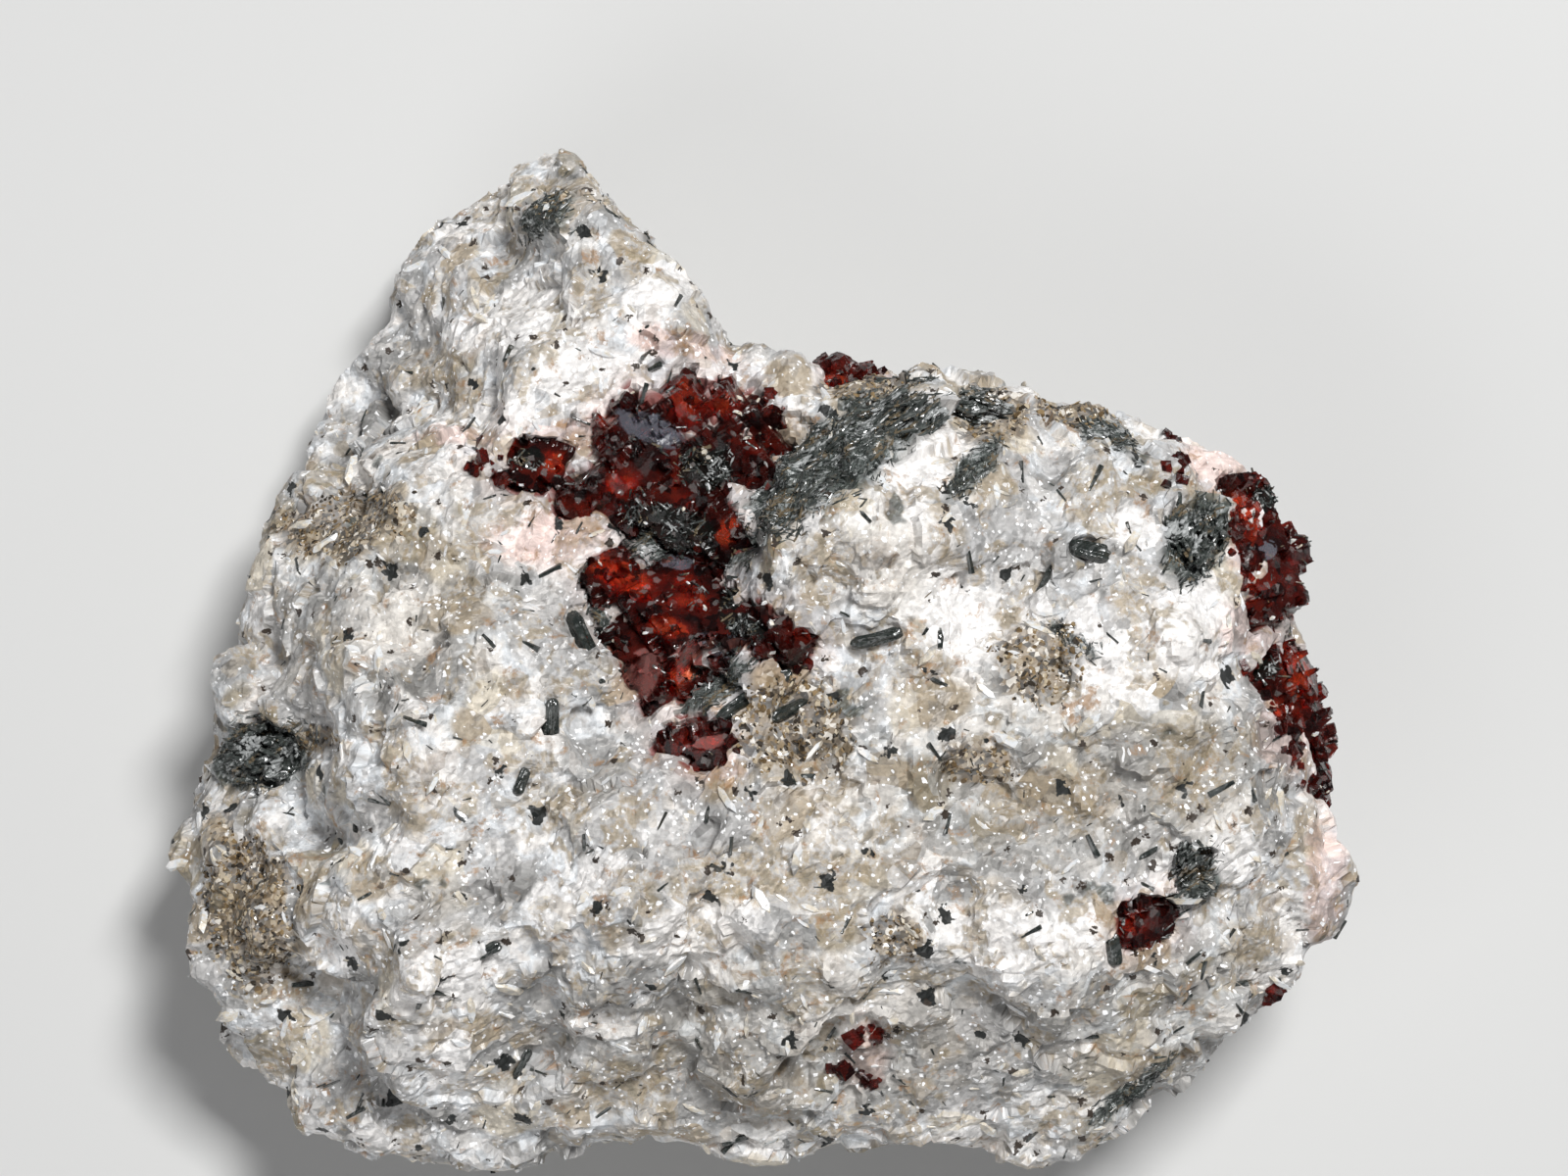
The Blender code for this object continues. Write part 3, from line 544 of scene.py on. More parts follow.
def rock_material():
    made, tree, shader = new_material("nepheline_syenite")
    place = kept(tree, "rest_place", "Vector")
    bent = warped(tree, place, *GRAIN_WARP)
    large_cell = cells(tree, bent, LARGE_GRAIN)
    large = parts_of(tree, large_cell.outputs["Color"])
    small = cell_numbers(tree, bent, SMALL_GRAIN)
    sugar = cell_numbers(tree, place, SUGAR_GRAIN)
    cloud = noise(tree, bent, 0.19, 5.0, 0.60)
    grit = noise(tree, place, 1.9, 5.0, 0.68)

    def laid(name, soft=0.18):
        """Where a patch lies: it ends along the rims of small grains."""
        pull = around_half(tree, cloud, 1.3, around_half(tree, small[1], 0.42, kept(tree, name)))
        return between(tree, pull, 0.5 - soft, 0.5 + soft)

    def share(value, of):
        return maths(tree, "MULTIPLY", value, of)

    # The grains: clouds of fine ones, single large ones, chips of small ones, and the patches.
    colour = ramp(
        tree,
        cloud,
        [(0.32, SMOKY_NEPHELINE), (0.41, GREY_NEPHELINE), (0.46, SUGARY_ALBITE), (0.52, COOL_FELDSPAR),
         (0.59, WHITE_FELDSPAR)],
    )
    grain_colour = ramp(
        tree,
        large[0],
        [(0.0, OLIVE_NEPHELINE), (0.14, TAN_NEPHELINE), (0.36, GREY_NEPHELINE), (0.54, SUGARY_ALBITE),
         (0.66, CREAM_FELDSPAR), (0.76, BRIGHT_FELDSPAR)],
        "CONSTANT",
    )
    grain_middle = between(tree, large_cell.outputs["Distance"], 0.68, 0.50)
    grain_mask = share(between(tree, large[2], 0.28, 0.34), grain_middle)
    colour = mixed(tree, share(grain_mask, 0.85), colour, grain_colour)
    chip_colour = ramp(
        tree,
        small[0],
        [(0.0, SMOKY_NEPHELINE), (0.12, TAN_NEPHELINE), (0.26, SUGARY_ALBITE), (0.50, COOL_FELDSPAR),
         (0.72, WHITE_FELDSPAR)],
        "CONSTANT",
    )
    colour = mixed(tree, between(tree, small[2], 0.50, 0.56, 0.0, 0.38), colour, chip_colour)
    sugary_grey = mixed(tree, sugar[1], GREY_NEPHELINE, SUGARY_ALBITE)
    colour = mixed(tree, share(laid("grey"), 0.70), colour, sugary_grey)
    colour = mixed(tree, share(laid("white"), 0.85), colour, BRIGHT_FELDSPAR)
    mottle = noise(tree, bent, 0.85, 5.0, 0.7)
    waxy = ramp(
        tree,
        mottle,
        [(0.36, OLIVE_NEPHELINE), (0.47, TAN_NEPHELINE), (0.56, SUGARY_ALBITE), (0.68, CREAM_FELDSPAR)],
    )
    waxy_grains = between(tree, noise(tree, bent, 0.33, 3.0, 0.6), 0.545, 0.59, 0.0, 0.75)
    waxy_grains = maths(tree, "MAXIMUM", waxy_grains, share(laid("tan", 0.34), 0.85))
    colour = mixed(tree, waxy_grains, colour, waxy)
    # Painted shade: broad patches are darkened.
    colour = mixed(tree, laid("painted_shade", 0.45), colour, PAINTED_SHADE_TINT, "MULTIPLY")
    stain = maths(tree, "MAXIMUM", laid("pink", 0.3), share(kept(tree, "near_red"), 0.8))
    colour = mixed(tree, stain, colour, PINK_STAIN, "MULTIPLY")
    colour = mixed(tree, 1.0, colour, grey_of(tree, between(tree, grit, 0.28, 0.72, 0.76, 1.14)), "MULTIPLY")
    sugar_tone = grey_of(tree, between(tree, sugar[0], 0.0, 1.0, 0.82, 1.14))
    colour = mixed(tree, 0.5, colour, sugar_tone, "MULTIPLY")

    # Cleavage streaks, rust and single white painted glints.
    streak = noise(tree, vectors(tree, "MULTIPLY", bent, (0.9, 3.2, 2.0)), 0.55, 4.0, 0.7)
    colour = mixed(tree, between(tree, streak, 0.60, 0.68, 0.0, 0.55), colour, WHITE_FELDSPAR)
    colour = mixed(tree, between(tree, streak, 0.38, 0.30, 0.0, 0.45), colour, SMOKY_NEPHELINE)
    rusty = noise(tree, bent, 0.50, 5.0, 0.75)
    colour = mixed(tree, between(tree, rusty, 0.57, 0.68, 0.0, 0.75), colour, RUST)
    # Painted highlights: a few single cells are painted white as glints.
    for scale, dull in ((3.4, 0.985), (5.6, 0.970)):
        painted_glint_cell = cell_numbers(tree, place, scale)
        colour = mixed(tree, between(tree, painted_glint_cell[1], dull, dull + 0.01), colour, PAINTED_GLINT)

    # The ground under the brown flakes and under the aegirine, and black specks.
    spangle = laid("spangle")
    golden = ramp(
        tree,
        sugar[0],
        [(0.0, (0.03, 0.022, 0.014)), (0.28, (0.11, 0.072, 0.034)), (0.52, (0.22, 0.15, 0.075)),
         (0.76, (0.36, 0.29, 0.20)), (0.91, (0.75, 0.70, 0.62))],
        "CONSTANT",
    )
    colour = mixed(tree, share(spangle, 0.72), colour, golden)
    wild = between(tree, noise(tree, bent, 0.17, 3.0, 0.6), 0.685, 0.72)
    felt = maths(tree, "MAXIMUM", laid("aegirine", 0.30), share(wild, 0.8))
    fibres = noise(tree, along_blades(tree, place, (0.45, 2.6, 1.6)), 1.1, 4.0, 0.65)
    blades = ramp(
        tree,
        around_half(tree, sugar[2], 0.22, fibres),
        [(0.34, BLACK_AEGIRINE), (0.54, GREEN_AEGIRINE), (0.66, SILKY_AEGIRINE), (0.78, FRAYED_AEGIRINE)],
    )
    colour = mixed(tree, share(felt, 0.94), colour, blades)
    for scale, warp, bare, size, tone in (
        (0.75, 1.5, 0.970, 0.52, BLACK_SPECK), (1.6, 0.8, 0.975, 0.54, BROWN_SPECK)
    ):
        speck = cells(tree, warped(tree, place, scale * 2.2, warp), scale)
        chosen = between(tree, parts_of(tree, speck.outputs["Color"])[0], bare, bare + 0.004)
        speck_mask = share(chosen, between(tree, speck.outputs["Distance"], size, size - 0.08))
        colour = mixed(tree, speck_mask, colour, tone)

    # The red stain round the villiaumite, and the bed that is seen through it, painted with light and shade:
    # a painted red glow where light would come back out through the crystals, and painted shade elsewhere.
    edge = around_half(tree, small[1], 0.5, kept(tree, "near_red"))
    colour = mixed(tree, between(tree, edge, 0.80, 0.92, 0.0, 0.85), colour, RED_STAIN)
    painted_glow_share = share(kept(tree, "painted_glow"), between(tree, small[0], 0.0, 1.0, 0.25, 1.0))
    painted_glow_bed = ramp(
        tree,
        maths(tree, "ADD", painted_glow_share, noise(tree, place, 0.42, 4.0, 0.65)),
        [(0.40, PAINTED_RED_SHADE), (0.52, (0.10, 0.030, 0.022)), (0.66, (0.42, 0.12, 0.07)), (0.80, PAINTED_RED_GLOW)],
    )
    colour = mixed(tree, between(tree, kept(tree, "under_red"), 0.3, 0.7), colour, painted_glow_bed)

    tree.links.new(colour, shader.inputs["Base Color"])
    tree.links.new(between(tree, sugar[2], 0.82, 0.88, 0.58, 0.18), shader.inputs["Roughness"])
    faces = placed(tree, glints, {"Place": place, "Faces per mm": 2.7, "Lean": 0.50})
    bumped(tree, shader, 0.42, 0.14, noise(tree, place, 2.2, 6.0, 0.72), faces["Normal"])
    return made


def swollen_copy(node, by):
    """A closed, evenly faced copy of a solid that is larger by that much all round."""
    thing = merged_copy(node, node + "_swollen")
    even_out(thing, ROCK_CELL, 1)
    move_corners(thing.data, corner_places(thing.data) + corner_normals(thing.data) * by)
    return thing


def joined(things, name):
    """One mesh object out of several, which are removed."""
    bm = bmesh.new()
    for thing in things:
        bm.from_mesh(thing.data)
        bpy.data.objects.remove(thing)
    return made_of(bm, name)


def distances_to(places, nodes, farthest):
    """How far each place is from the nearest of the solids, up to the farthest."""
    bm = bmesh.new()
    for node in nodes:
        bm.from_mesh(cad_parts[node].data)
    tree = BVHTree.FromBMesh(bm)
    bm.free()
    away = [tree.find_nearest(Vector(place), farthest)[3] for place in places]
    return np.array([farthest if d is None else d for d in away])


def soft_noise_at(places, scale):
    """Slow noise from -1 to 1 at each place."""
    return np.array([soft_noise.noise(Vector(place) * scale) for place in places])


red_nodes = [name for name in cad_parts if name.startswith("villiaumite")]
dark_nodes = [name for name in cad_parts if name.startswith("aegirine")]
syenite = rock_material()
skins = [swollen_copy(name, CRYSTAL_SKIN) for name in red_nodes]
rock = joined([merged_copy("matrix", "rock")] + skins, "syenite_matrix")
even_out(rock, ROCK_CELL, ROCK_SOFTENING)
keep_largest_piece(rock.data)
rock_places = corner_places(rock.data)
to_red = distances_to(rock_places, red_nodes, FARTHEST_RED)
closed = patch_strength(rock_places / MM, ROCK_PATCHES["closed_over"])
closed = ragged(closed, 0.3 * soft_noise_at(rock_places, UNDER_WANDER))
under_red = np.clip((UNDER_STARTS_AT - to_red) / UNDER_EDGE, 0.0, 1.0)
sunk = UNDER_CRYSTAL + UNDER_UNEVEN * soft_noise_at(rock_places, UNDER_WANDER)
depth = under_red * ((1.0 - closed) * sunk - closed * CLOSED_BY)
under_red *= 1.0 - closed
rock_places = rock_places - corner_normals(rock.data) * depth[:, None]
move_corners(rock.data, rock_places)
rock_places = rock_places / MM
to_dark = distances_to(rock_places * MM, dark_nodes, FARTHEST_AEGIRINE)
keep_values(rock.data, "rest_place", rock_places)
keep_values(rock.data, "under_red", under_red)
near_red = np.clip(1.0 - to_red / STAIN_REACH, 0.0, 1.0) * (1.0 - 0.5 * closed)
keep_values(rock.data, "near_red", near_red)
bare = (under_red < 0.01) & (to_dark > CLEAR_OF_AEGIRINE) & (rock_places[:, 2] > CLEAR_OF_TABLE)
keep_values(rock.data, "bare", bare.astype(float))
for patch_name in ("spangle", "tan", "grey", "white", "pink", "painted_shade", "aegirine"):
    keep_values(rock.data, patch_name, patch_strength(rock_places, ROCK_PATCHES[patch_name]))
# The painted glow, for the bed that is seen through the red crystals.
keep_values(rock.data, "painted_glow", painted_glow_strength(rock_places))
for share_name, patch_name, rag, where in (
    ("felt_share", "aegirine", 0.65, 1.0),
    ("flake_share", "spangle", 0.35, bare),
    ("red_share", "red_grains", 0.35, 1.0),
):
    strength = patch_strength(rock_places, ROCK_PATCHES[patch_name])
    uneven = ragged(strength, rag * soft_noise_at(rock_places, RIM_WANDER))
    keep_values(rock.data, share_name, uneven * where)
keep_values(rock.data, "felt_heading", patch_headings(rock_places, ROCK_PATCHES["aegirine"]))
run_tree(
    rock,
    relief_tree(syenite),
    {"Large step": 0.44, "Large tilt": 0.36, "Small step": 0.16, "Small tilt": 0.30, "Rough": 0.18},
)
keep_in_box(rock.data)
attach(rock, "root")
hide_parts("matrix")


# Loose-looking plates of feldspar that stand a little proud of the break: each is one cleaved crystal of the
# rock, still grown fast in it, and longer than it is wide.

def random_number(tree, low, high, seed):
    inputs = {2: low, 3: high, "Seed": seed}
    return add(tree, "FunctionNodeRandomValue", inputs, data_type="FLOAT").outputs[1]


def three(tree, x=0.0, y=0.0, z=0.0):
    return add(tree, "ShaderNodeCombineXYZ", {0: x, 1: y, 2: z}).outputs[0]


def crystal_sizes(per_mm2, length, width, depth, sink, lean, spin=math.pi):
    """Sizes of scattered crystals: lengths in millimetres, and the rest as shares of each one's length."""
    least, most = length
    return {"Per mm2": per_mm2, "Least length": least, "Most length": most, "Width": width, "Depth": depth,
            "Sink": sink, "Lean": lean, "Spin": spin}


def scatter_tree(name, material, shape, share, seed, heading=None):
    """Sets small crystals on a surface, where the value named share says that they are."""
    tree, given, out = new_geometry_tree(name, crystal_sizes(0.1, (1.0, 2.0), 0.4, 0.2, 0.1, 0.3))

    def times(a, b):
        return maths(tree, "MULTIPLY", a, b)

    def either_way(size, seed):
        return times(given[size], random_number(tree, -1.0, 1.0, seed))

    density = times(times(given["Per mm2"], 1.0 / MM**2), kept_value(tree, share))
    inputs = {"Mesh": given[0], "Density": density, "Seed": seed}
    spots = add(tree, "GeometryNodeDistributePointsOnFaces", inputs).outputs
    facing = spots["Rotation"]
    if heading:
        inputs = {"Rotation": facing, "Vector": kept_value(tree, heading, "FLOAT_VECTOR")}
        facing = add(tree, "FunctionNodeAlignRotationToVector", inputs, axis="X", pivot_axis="Z").outputs[0]
    lean, roll = either_way("Lean", seed + 1), either_way("Lean", seed + 2)
    spin = either_way("Spin", seed + 3)
    turn = add(tree, "FunctionNodeEulerToRotation", {0: three(tree, roll, lean, spin)}).outputs[0]
    inputs = {"Rotation": facing, "Rotate By": turn}
    facing = add(tree, "FunctionNodeRotateRotation", inputs, rotation_space="LOCAL").outputs[0]
    mix = random_number(tree, 0.0, 1.0, seed + 4)
    spread = maths(tree, "SUBTRACT", given["Most length"], given["Least length"])
    long = maths(tree, "MULTIPLY_ADD", times(mix, mix), spread, given["Least length"])
    wide = times(times(long, given["Width"]), random_number(tree, 0.6, 1.3, seed + 5))
    deep = times(times(long, given["Depth"]), random_number(tree, 0.7, 1.3, seed + 6))
    size = scaled(tree, three(tree, long, wide, deep), MM)
    inputs = {"Points": spots["Points"], "Instance": shape(tree), "Rotation": facing, "Scale": size}
    put = add(tree, "GeometryNodeInstanceOnPoints", inputs).outputs[0]
    inputs = {"Instances": put, "Translation": three(tree, z=times(given["Sink"], -1.0)), "Local Space": True}
    sunken = add(tree, "GeometryNodeTranslateInstances", inputs).outputs[0]
    finish_tree(tree, sunken, material, out)
    return tree


def tapered(tree, top, place, turn=(0.0, 0.0, 0.0)):
    """A six-sided bar, 1 long and 1 wide, that narrows to the top radius."""
    inputs = {"Vertices": 6, "Radius Top": top, "Radius Bottom": 0.5, "Depth": 1.0}
    bar = add(tree, "GeometryNodeMeshCone", inputs).outputs[0]
    inputs = {"Geometry": bar, "Translation": place, "Rotation": turn}
    return add(tree, "GeometryNodeTransform", inputs).outputs[0]


def plate_shape(tree):
    """A six-sided plate with slanted sides."""
    return tapered(tree, 0.36, (0.0, 0.0, -0.5))


def blade_shape(tree):
    """A six-sided blade along X, narrower at one end."""
    return tapered(tree, 0.30, (-0.5, 0.0, 0.0), (0.0, math.radians(90.0), 0.0))


def cube_shape(tree):
    return tree.nodes.new("GeometryNodeMeshCube").outputs[0]


def scattered(name, material, shape, share, seed, sizes, heading=None, skin=None):
    """A piece of small crystals on the rock or another skin, each worked into the piece's own mesh."""
    piece = put_in_scene(name, (skin or rock).data.copy())
    run_tree(piece, scatter_tree(name, material, shape, share, seed, heading), sizes)
    keep_in_box(piece.data)
    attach(piece, "root")


def place_in_mm(tree):
    return scaled(tree, add(tree, "ShaderNodeTexCoord").outputs["Object"], 1.0 / MM)


def feldspar_material():
    made, tree, shader = new_material("feldspar_plates")
    place = place_in_mm(tree)
    body = ramp(
        tree,
        noise(tree, place, 0.45, 4.0, 0.65),
        [(0.34, GREY_NEPHELINE), (0.46, CREAM_FELDSPAR), (0.54, COOL_FELDSPAR), (0.64, WHITE_FELDSPAR)],
    )
    lines = noise(tree, vectors(tree, "MULTIPLY", place, (4.0, 9.0, 4.0)), 0.6, 3.0, 0.6)
    body = mixed(tree, between(tree, lines, 0.56, 0.66, 0.0, 0.5), body, WHITE_FELDSPAR)
    body = mixed(tree, between(tree, lines, 0.42, 0.32, 0.0, 0.5), body, GREY_NEPHELINE)
    tree.links.new(body, shader.inputs["Base Color"])
    tree.links.new(between(tree, lines, 0.3, 0.7, 0.42, 0.18), shader.inputs["Roughness"])
    bumped(tree, shader, 0.4, 0.08, lines)
    return made


feldspar = feldspar_material()
scattered(
    "feldspar_plates", feldspar, plate_shape, "bare", 3,
    crystal_sizes(0.07, length=(0.7, 2.8), width=0.28, depth=0.14, sink=0.12, lean=0.20),
)


# Villiaumite: soft, clear, deep red sodium fluoride. Each mass filled a gap between the rock's grains while
# it grew, and breaks along three cleavages at right angles, so its face is a stair of small flat steps.

VILLIAUMITE_AXES = {
    "villiaumite_upper_mass": (24.0, -18.0, 33.0),
    "villiaumite_left_arm": (12.0, 22.0, -20.0),
    "villiaumite_lower_crystal": (-32.0, 14.0, 28.0),
    "villiaumite_lower_grain": (18.0, -25.0, 10.0),
    "villiaumite_top_edge_grain": (30.0, 25.0, 40.0),
    "villiaumite_right_mass": (-15.0, 30.0, 12.0),
    "villiaumite_right_lower_mass": (35.0, -20.0, 25.0),
    "villiaumite_lone_grain": (28.0, 28.0, 18.0),
}
CRYSTAL_CELL = 0.17 * MM
CRYSTAL_SOFTENING = 14
SOCKET_GAP = 0.30 * MM
CLEAVAGE_STEP = 0.78 * MM
CLEAVAGE_WANDER = 0.9
CLEAVAGE_WANDER_SCALE = 1100.0
LEAST_CORNERS_IN_A_FACE = 12

DARK_RED = (0.050, 0.014, 0.013)
CHERRY_RED = (0.20, 0.026, 0.018)
# The flame red is a painted glow, not the crystal's own colour.
PAINTED_FLAME_GLOW = (0.95, 0.125, 0.045)
# The painted reflection and the painted sheen of flat crystal faces.
PAINTED_SLATE_REFLECTION = (0.50, 0.52, 0.62)
PAINTED_ROSE_SHEEN = (0.95, 0.42, 0.38)
MATTED_DARK = (0.035, 0.042, 0.036)
PALE_CRUMB = (0.66, 0.60, 0.58)
DARK_CRUMB = (0.014, 0.008, 0.008)
ABSORPTION_RED = (0.90, 0.08, 0.04, 1.0)
ABSORPTION_DENSITY = 900.0


def villiaumite_material():
    made, tree, shader = new_material("villiaumite")
    place = place_in_mm(tree)
    crumbs = cell_numbers(tree, warped(tree, place, 1.2, 0.7), 1.3)
    # Painted light: inside the painted glow patches the red is lifted to flame red, as if light came back out
    # through the crystal.
    painted_glow_share = maths(tree, "MULTIPLY", kept(tree, "painted_glow"), between(tree, crumbs[1], 0.0, 1.0, 0.30, 0.84))
    colour = ramp(
        tree,
        maths(tree, "ADD", painted_glow_share, noise(tree, place, 0.42, 4.0, 0.62)),
        [(0.36, DARK_RED), (0.54, CHERRY_RED), (0.68, (0.45, 0.045, 0.024)), (0.86, PAINTED_FLAME_GLOW)],
    )
    colour = mixed(tree, between(tree, crumbs[0], 0.76, 0.78, 0.0, 0.85), colour, DARK_CRUMB)
    # The slate and rose faces are a painted reflection and a painted sheen; the dark mat is matted aegirine.
    for name, face_colour in (("painted_slate_reflection", PAINTED_SLATE_REFLECTION), ("painted_rose_sheen", PAINTED_ROSE_SHEEN), ("dark_mat", MATTED_DARK)):
        mask = around_half(tree, crumbs[2], 0.5, kept(tree, name))
        colour = mixed(tree, between(tree, mask, 0.42, 0.58, 0.0, 0.9), colour, face_colour)
    grain = cell_numbers(tree, warped(tree, place, 2.0, 0.3), 2.4)
    colour = mixed(tree, between(tree, grain[0], 0.93, 0.94, 0.0, 0.85), colour, PALE_CRUMB)
    tree.links.new(colour, shader.inputs["Base Color"])
    shader.inputs["Transmission Weight"].default_value = 0.82
    shader.inputs["IOR"].default_value = 1.33
    gloss = between(tree, noise(tree, place, 1.1, 3.0), 0.3, 0.7, 0.05, 0.30)
    tree.links.new(gloss, shader.inputs["Roughness"])
    faces = placed(tree, glints, {"Place": place, "Faces per mm": 1.1, "Lean": 0.5})
    bumped(tree, shader, 0.45, 0.1, noise(tree, place, 2.4, 4.0, 0.65), faces["Normal"])
    absorb = add(tree, "ShaderNodeVolumeAbsorption")
    absorb.inputs["Color"].default_value = ABSORPTION_RED
    absorb.inputs["Density"].default_value = ABSORPTION_DENSITY
    tree.links.new(absorb.outputs[0], tree.nodes["Material Output"].inputs["Volume"])
    return made


def cleave(mesh, axes, step):
    """Moves each corner of the mesh onto a cleavage step across its own nearest cleavage."""
    turn = np.array(Euler([math.radians(a) for a in axes]).to_matrix())
    normals = corner_normals(mesh).astype(float)
    places = corner_places(mesh).astype(float) + normals * SOCKET_GAP
    wander = soft_noise_at(places, CLEAVAGE_WANDER_SCALE) * CLEAVAGE_WANDER
    own, facing = places @ turn, normals @ turn
    nearest = np.abs(facing).argmax(axis=1)
    rows = np.arange(len(own))
    own[rows, nearest] = np.round(own[rows, nearest] / step + wander) * step
    move_corners(mesh, own @ turn.T)
    mesh.update()


def flatten(mesh, patches):
    """Cleaves the top of the mesh along one flat plane inside each patch."""
    places = corner_places(mesh).astype(float)
    upward = corner_normals(mesh)[:, 2] > 0.2
    for patch in patches:
        inside = (patch_strength(places / MM, [patch]) > 0.5) & upward
        if inside.sum() < LEAST_CORNERS_IN_A_FACE:
            continue
        x, y, z = places[inside].T
        ground = np.column_stack([x, y, np.ones(len(x))])
        places[inside, 2] = ground @ np.linalg.lstsq(ground, z, rcond=None)[0]
    move_corners(mesh, places)
    mesh.update()


villiaumite = villiaumite_material()
red_copies = []
for name, axes in VILLIAUMITE_AXES.items():
    mass = merged_copy(name, name.replace("villiaumite", "red_villiaumite"))
    even_out(mass, CRYSTAL_CELL, CRYSTAL_SOFTENING)
    cleave(mass.data, axes, CLEAVAGE_STEP)
    # The faces that carry the painted reflection and painted sheen are cleaved flat.
    flatten(mass.data, ROCK_PATCHES["painted_slate_reflection"] + ROCK_PATCHES["painted_rose_sheen"])
    keep_in_box(mass.data)
    mass_places = corner_places(mass.data) / MM
    # The painted glow of the crystal's own colour.
    keep_values(mass.data, "painted_glow", painted_glow_strength(mass_places))
    for patch_name in ("painted_slate_reflection", "painted_rose_sheen", "dark_mat"):
        keep_values(mass.data, patch_name, patch_strength(mass_places, ROCK_PATCHES[patch_name]))
    red_copies.append(bpy.data.objects.new(name + "_skin", mass.data.copy()))
    mass.data.materials.append(villiaumite)
    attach(mass, "root")
    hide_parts(name)


# Aegirine: black to dark green prisms and bundles of blades, striped along their length. They grew first,
# and the pale grains closed round them.

SILVERY_AEGIRINE = (0.46, 0.475, 0.47)
BROWN_AEGIRINE = (0.17, 0.125, 0.070)
AEGIRINE_BLADES = {
    "aegirine_band": 700,
    "aegirine_left_patch": 420,
    "aegirine_right_patch": 420,
    "aegirine_top_patch": 300,
    "aegirine_lower_right_patch": 240,
}
MATTED_BLADE = 0.34 * MM
BLADE_LENGTHS = (0.08, 0.26)
BLADE_LEAN = 0.30
RAGGED_RIM = 0.82
RAGGED_BY = 1.2
RAGGED_SCALE = 620.0
SIDES = 6
BLADE_RINGS = ((-0.5, 0.35), (-0.42, 1.0), (0.42, 1.0), (0.5, 0.35))
PRISM_CELL = 0.06 * MM
GROOVE_DEPTH = 0.22 * MM
GROOVES_ALONG = 420.0
GROOVES_ACROSS = 3600.0


def mix_of(tone, share):
    return tuple(a + (b - a) * share for a, b in zip(BLACK_AEGIRINE, tone))


def aegirine_material(name, pale, changed):
    """Black to dark green, with the pale tone where its blades fray, and silver and brown in streaks."""
    made, tree, shader = new_material(name)
    place = place_in_mm(tree)
    frayed = noise(tree, place, 1.6, 4.0, 0.65)
    colour = ramp(tree, frayed, [(0.36, BLACK_AEGIRINE), (0.56, mix_of(pale, 0.3)), (0.70, pale)])
    streak = noise(tree, along_blades(tree, place, (0.38, 1.3, 0.8)), 0.62, 5.0, 0.72)
    colour = mixed(tree, between(tree, streak, 0.54, 0.60, 0.0, changed), colour, SILVERY_AEGIRINE)
    colour = mixed(tree, between(tree, streak, 0.45, 0.40, 0.0, changed), colour, BROWN_AEGIRINE)
    tree.links.new(colour, shader.inputs["Base Color"])
    shader.inputs["IOR"].default_value = 1.75
    gloss = between(tree, noise(tree, place, 3.0, 2.0), 0.3, 0.7, 0.12, 0.40)
    tree.links.new(gloss, shader.inputs["Roughness"])
    faces = placed(tree, glints, {"Place": place, "Faces per mm": 3.5, "Lean": 0.35})
    tree.links.new(faces["Normal"], shader.inputs["Normal"])
    return made


def own_axes(places):
    """The middle of the places, and their directions from the longest to the shortest."""
    centre = places.mean(axis=0)
    return centre, np.linalg.eigh(np.cov((places - centre).T))[1][:, ::-1]


def striped_prism(node, name):
    """The solid of a prism with even faces, and fine grooves worked in along its length."""
    thing = merged_copy(node, name)
    even_out(thing, PRISM_CELL, 1)
    places = corner_places(thing.data).astype(float)
    centre, axes = own_axes(places)
    own = (places - centre) @ axes * (GROOVES_ALONG, GROOVES_ACROSS, GROOVES_ACROSS)
    places += corner_normals(thing.data) * (soft_noise_at(own, 1.0) * GROOVE_DEPTH)[:, None]
    move_corners(thing.data, places)
    return thing


def blade_mat(node, name, count, seed):
    """Slim six-sided blades, matted along a solid of aegirine, that fill its form up to a ragged rim."""
    places = corner_places(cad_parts[node].data).astype(float)
    centre, axes = own_axes(places)
    own = (places - centre) @ axes
    low, high = own.min(axis=0), own.max(axis=0)
    size = high - low
    random = np.random.default_rng(seed)
    points, faces = [], []
    for _ in range(count):
        across = random.uniform(-0.5, 0.5, 2) * np.maximum(size[1:] - MATTED_BLADE, 0.0)
        long = size[0] * random.uniform(*BLADE_LENGTHS)
        start = random.uniform(-0.5, 0.5) * (size[0] - long)
        lean = random.normal(0.0, BLADE_LEAN, 2) * long
        spot = centre + axes @ np.array([start, *across])
        reach = 2.0 * math.hypot(start / size[0], across[0] / size[1])
        if reach > RAGGED_RIM + RAGGED_BY * soft_noise.noise(Vector(spot) * RAGGED_SCALE):
            continue
        width, depth = MATTED_BLADE * random.uniform(0.6, 1.3), MATTED_BLADE * random.uniform(0.4, 0.9)
        first = len(points)
        for end, share in BLADE_RINGS:
            for side in range(SIDES):
                a = math.tau * side / SIDES
                y = across[0] + lean[0] * end + math.cos(a) * width * 0.5 * share
                z = across[1] + lean[1] * end + math.sin(a) * depth * 0.5 * share
                points.append(centre + axes @ (np.array([start + end * long, y, z]) + (low + high) / 2.0))
        for ring in range(len(BLADE_RINGS) - 1):
            for side in range(SIDES):
                a, b = first + ring * SIDES + side, first + ring * SIDES + (side + 1) % SIDES
                faces.append((a, b, b + SIDES, a + SIDES))
        faces.append(tuple(reversed(range(first, first + SIDES))))
        faces.append(tuple(range(len(points) - SIDES, len(points))))
    mesh = bpy.data.meshes.new(name)
    mesh.from_pydata([tuple(p) for p in points], [], faces)
    mesh.update()
    bm = bmesh.new()
    bm.from_mesh(mesh)
    bmesh.ops.recalc_face_normals(bm, faces=bm.faces)
    bm.to_mesh(mesh)
    bm.free()
    return put_in_scene(name, mesh)


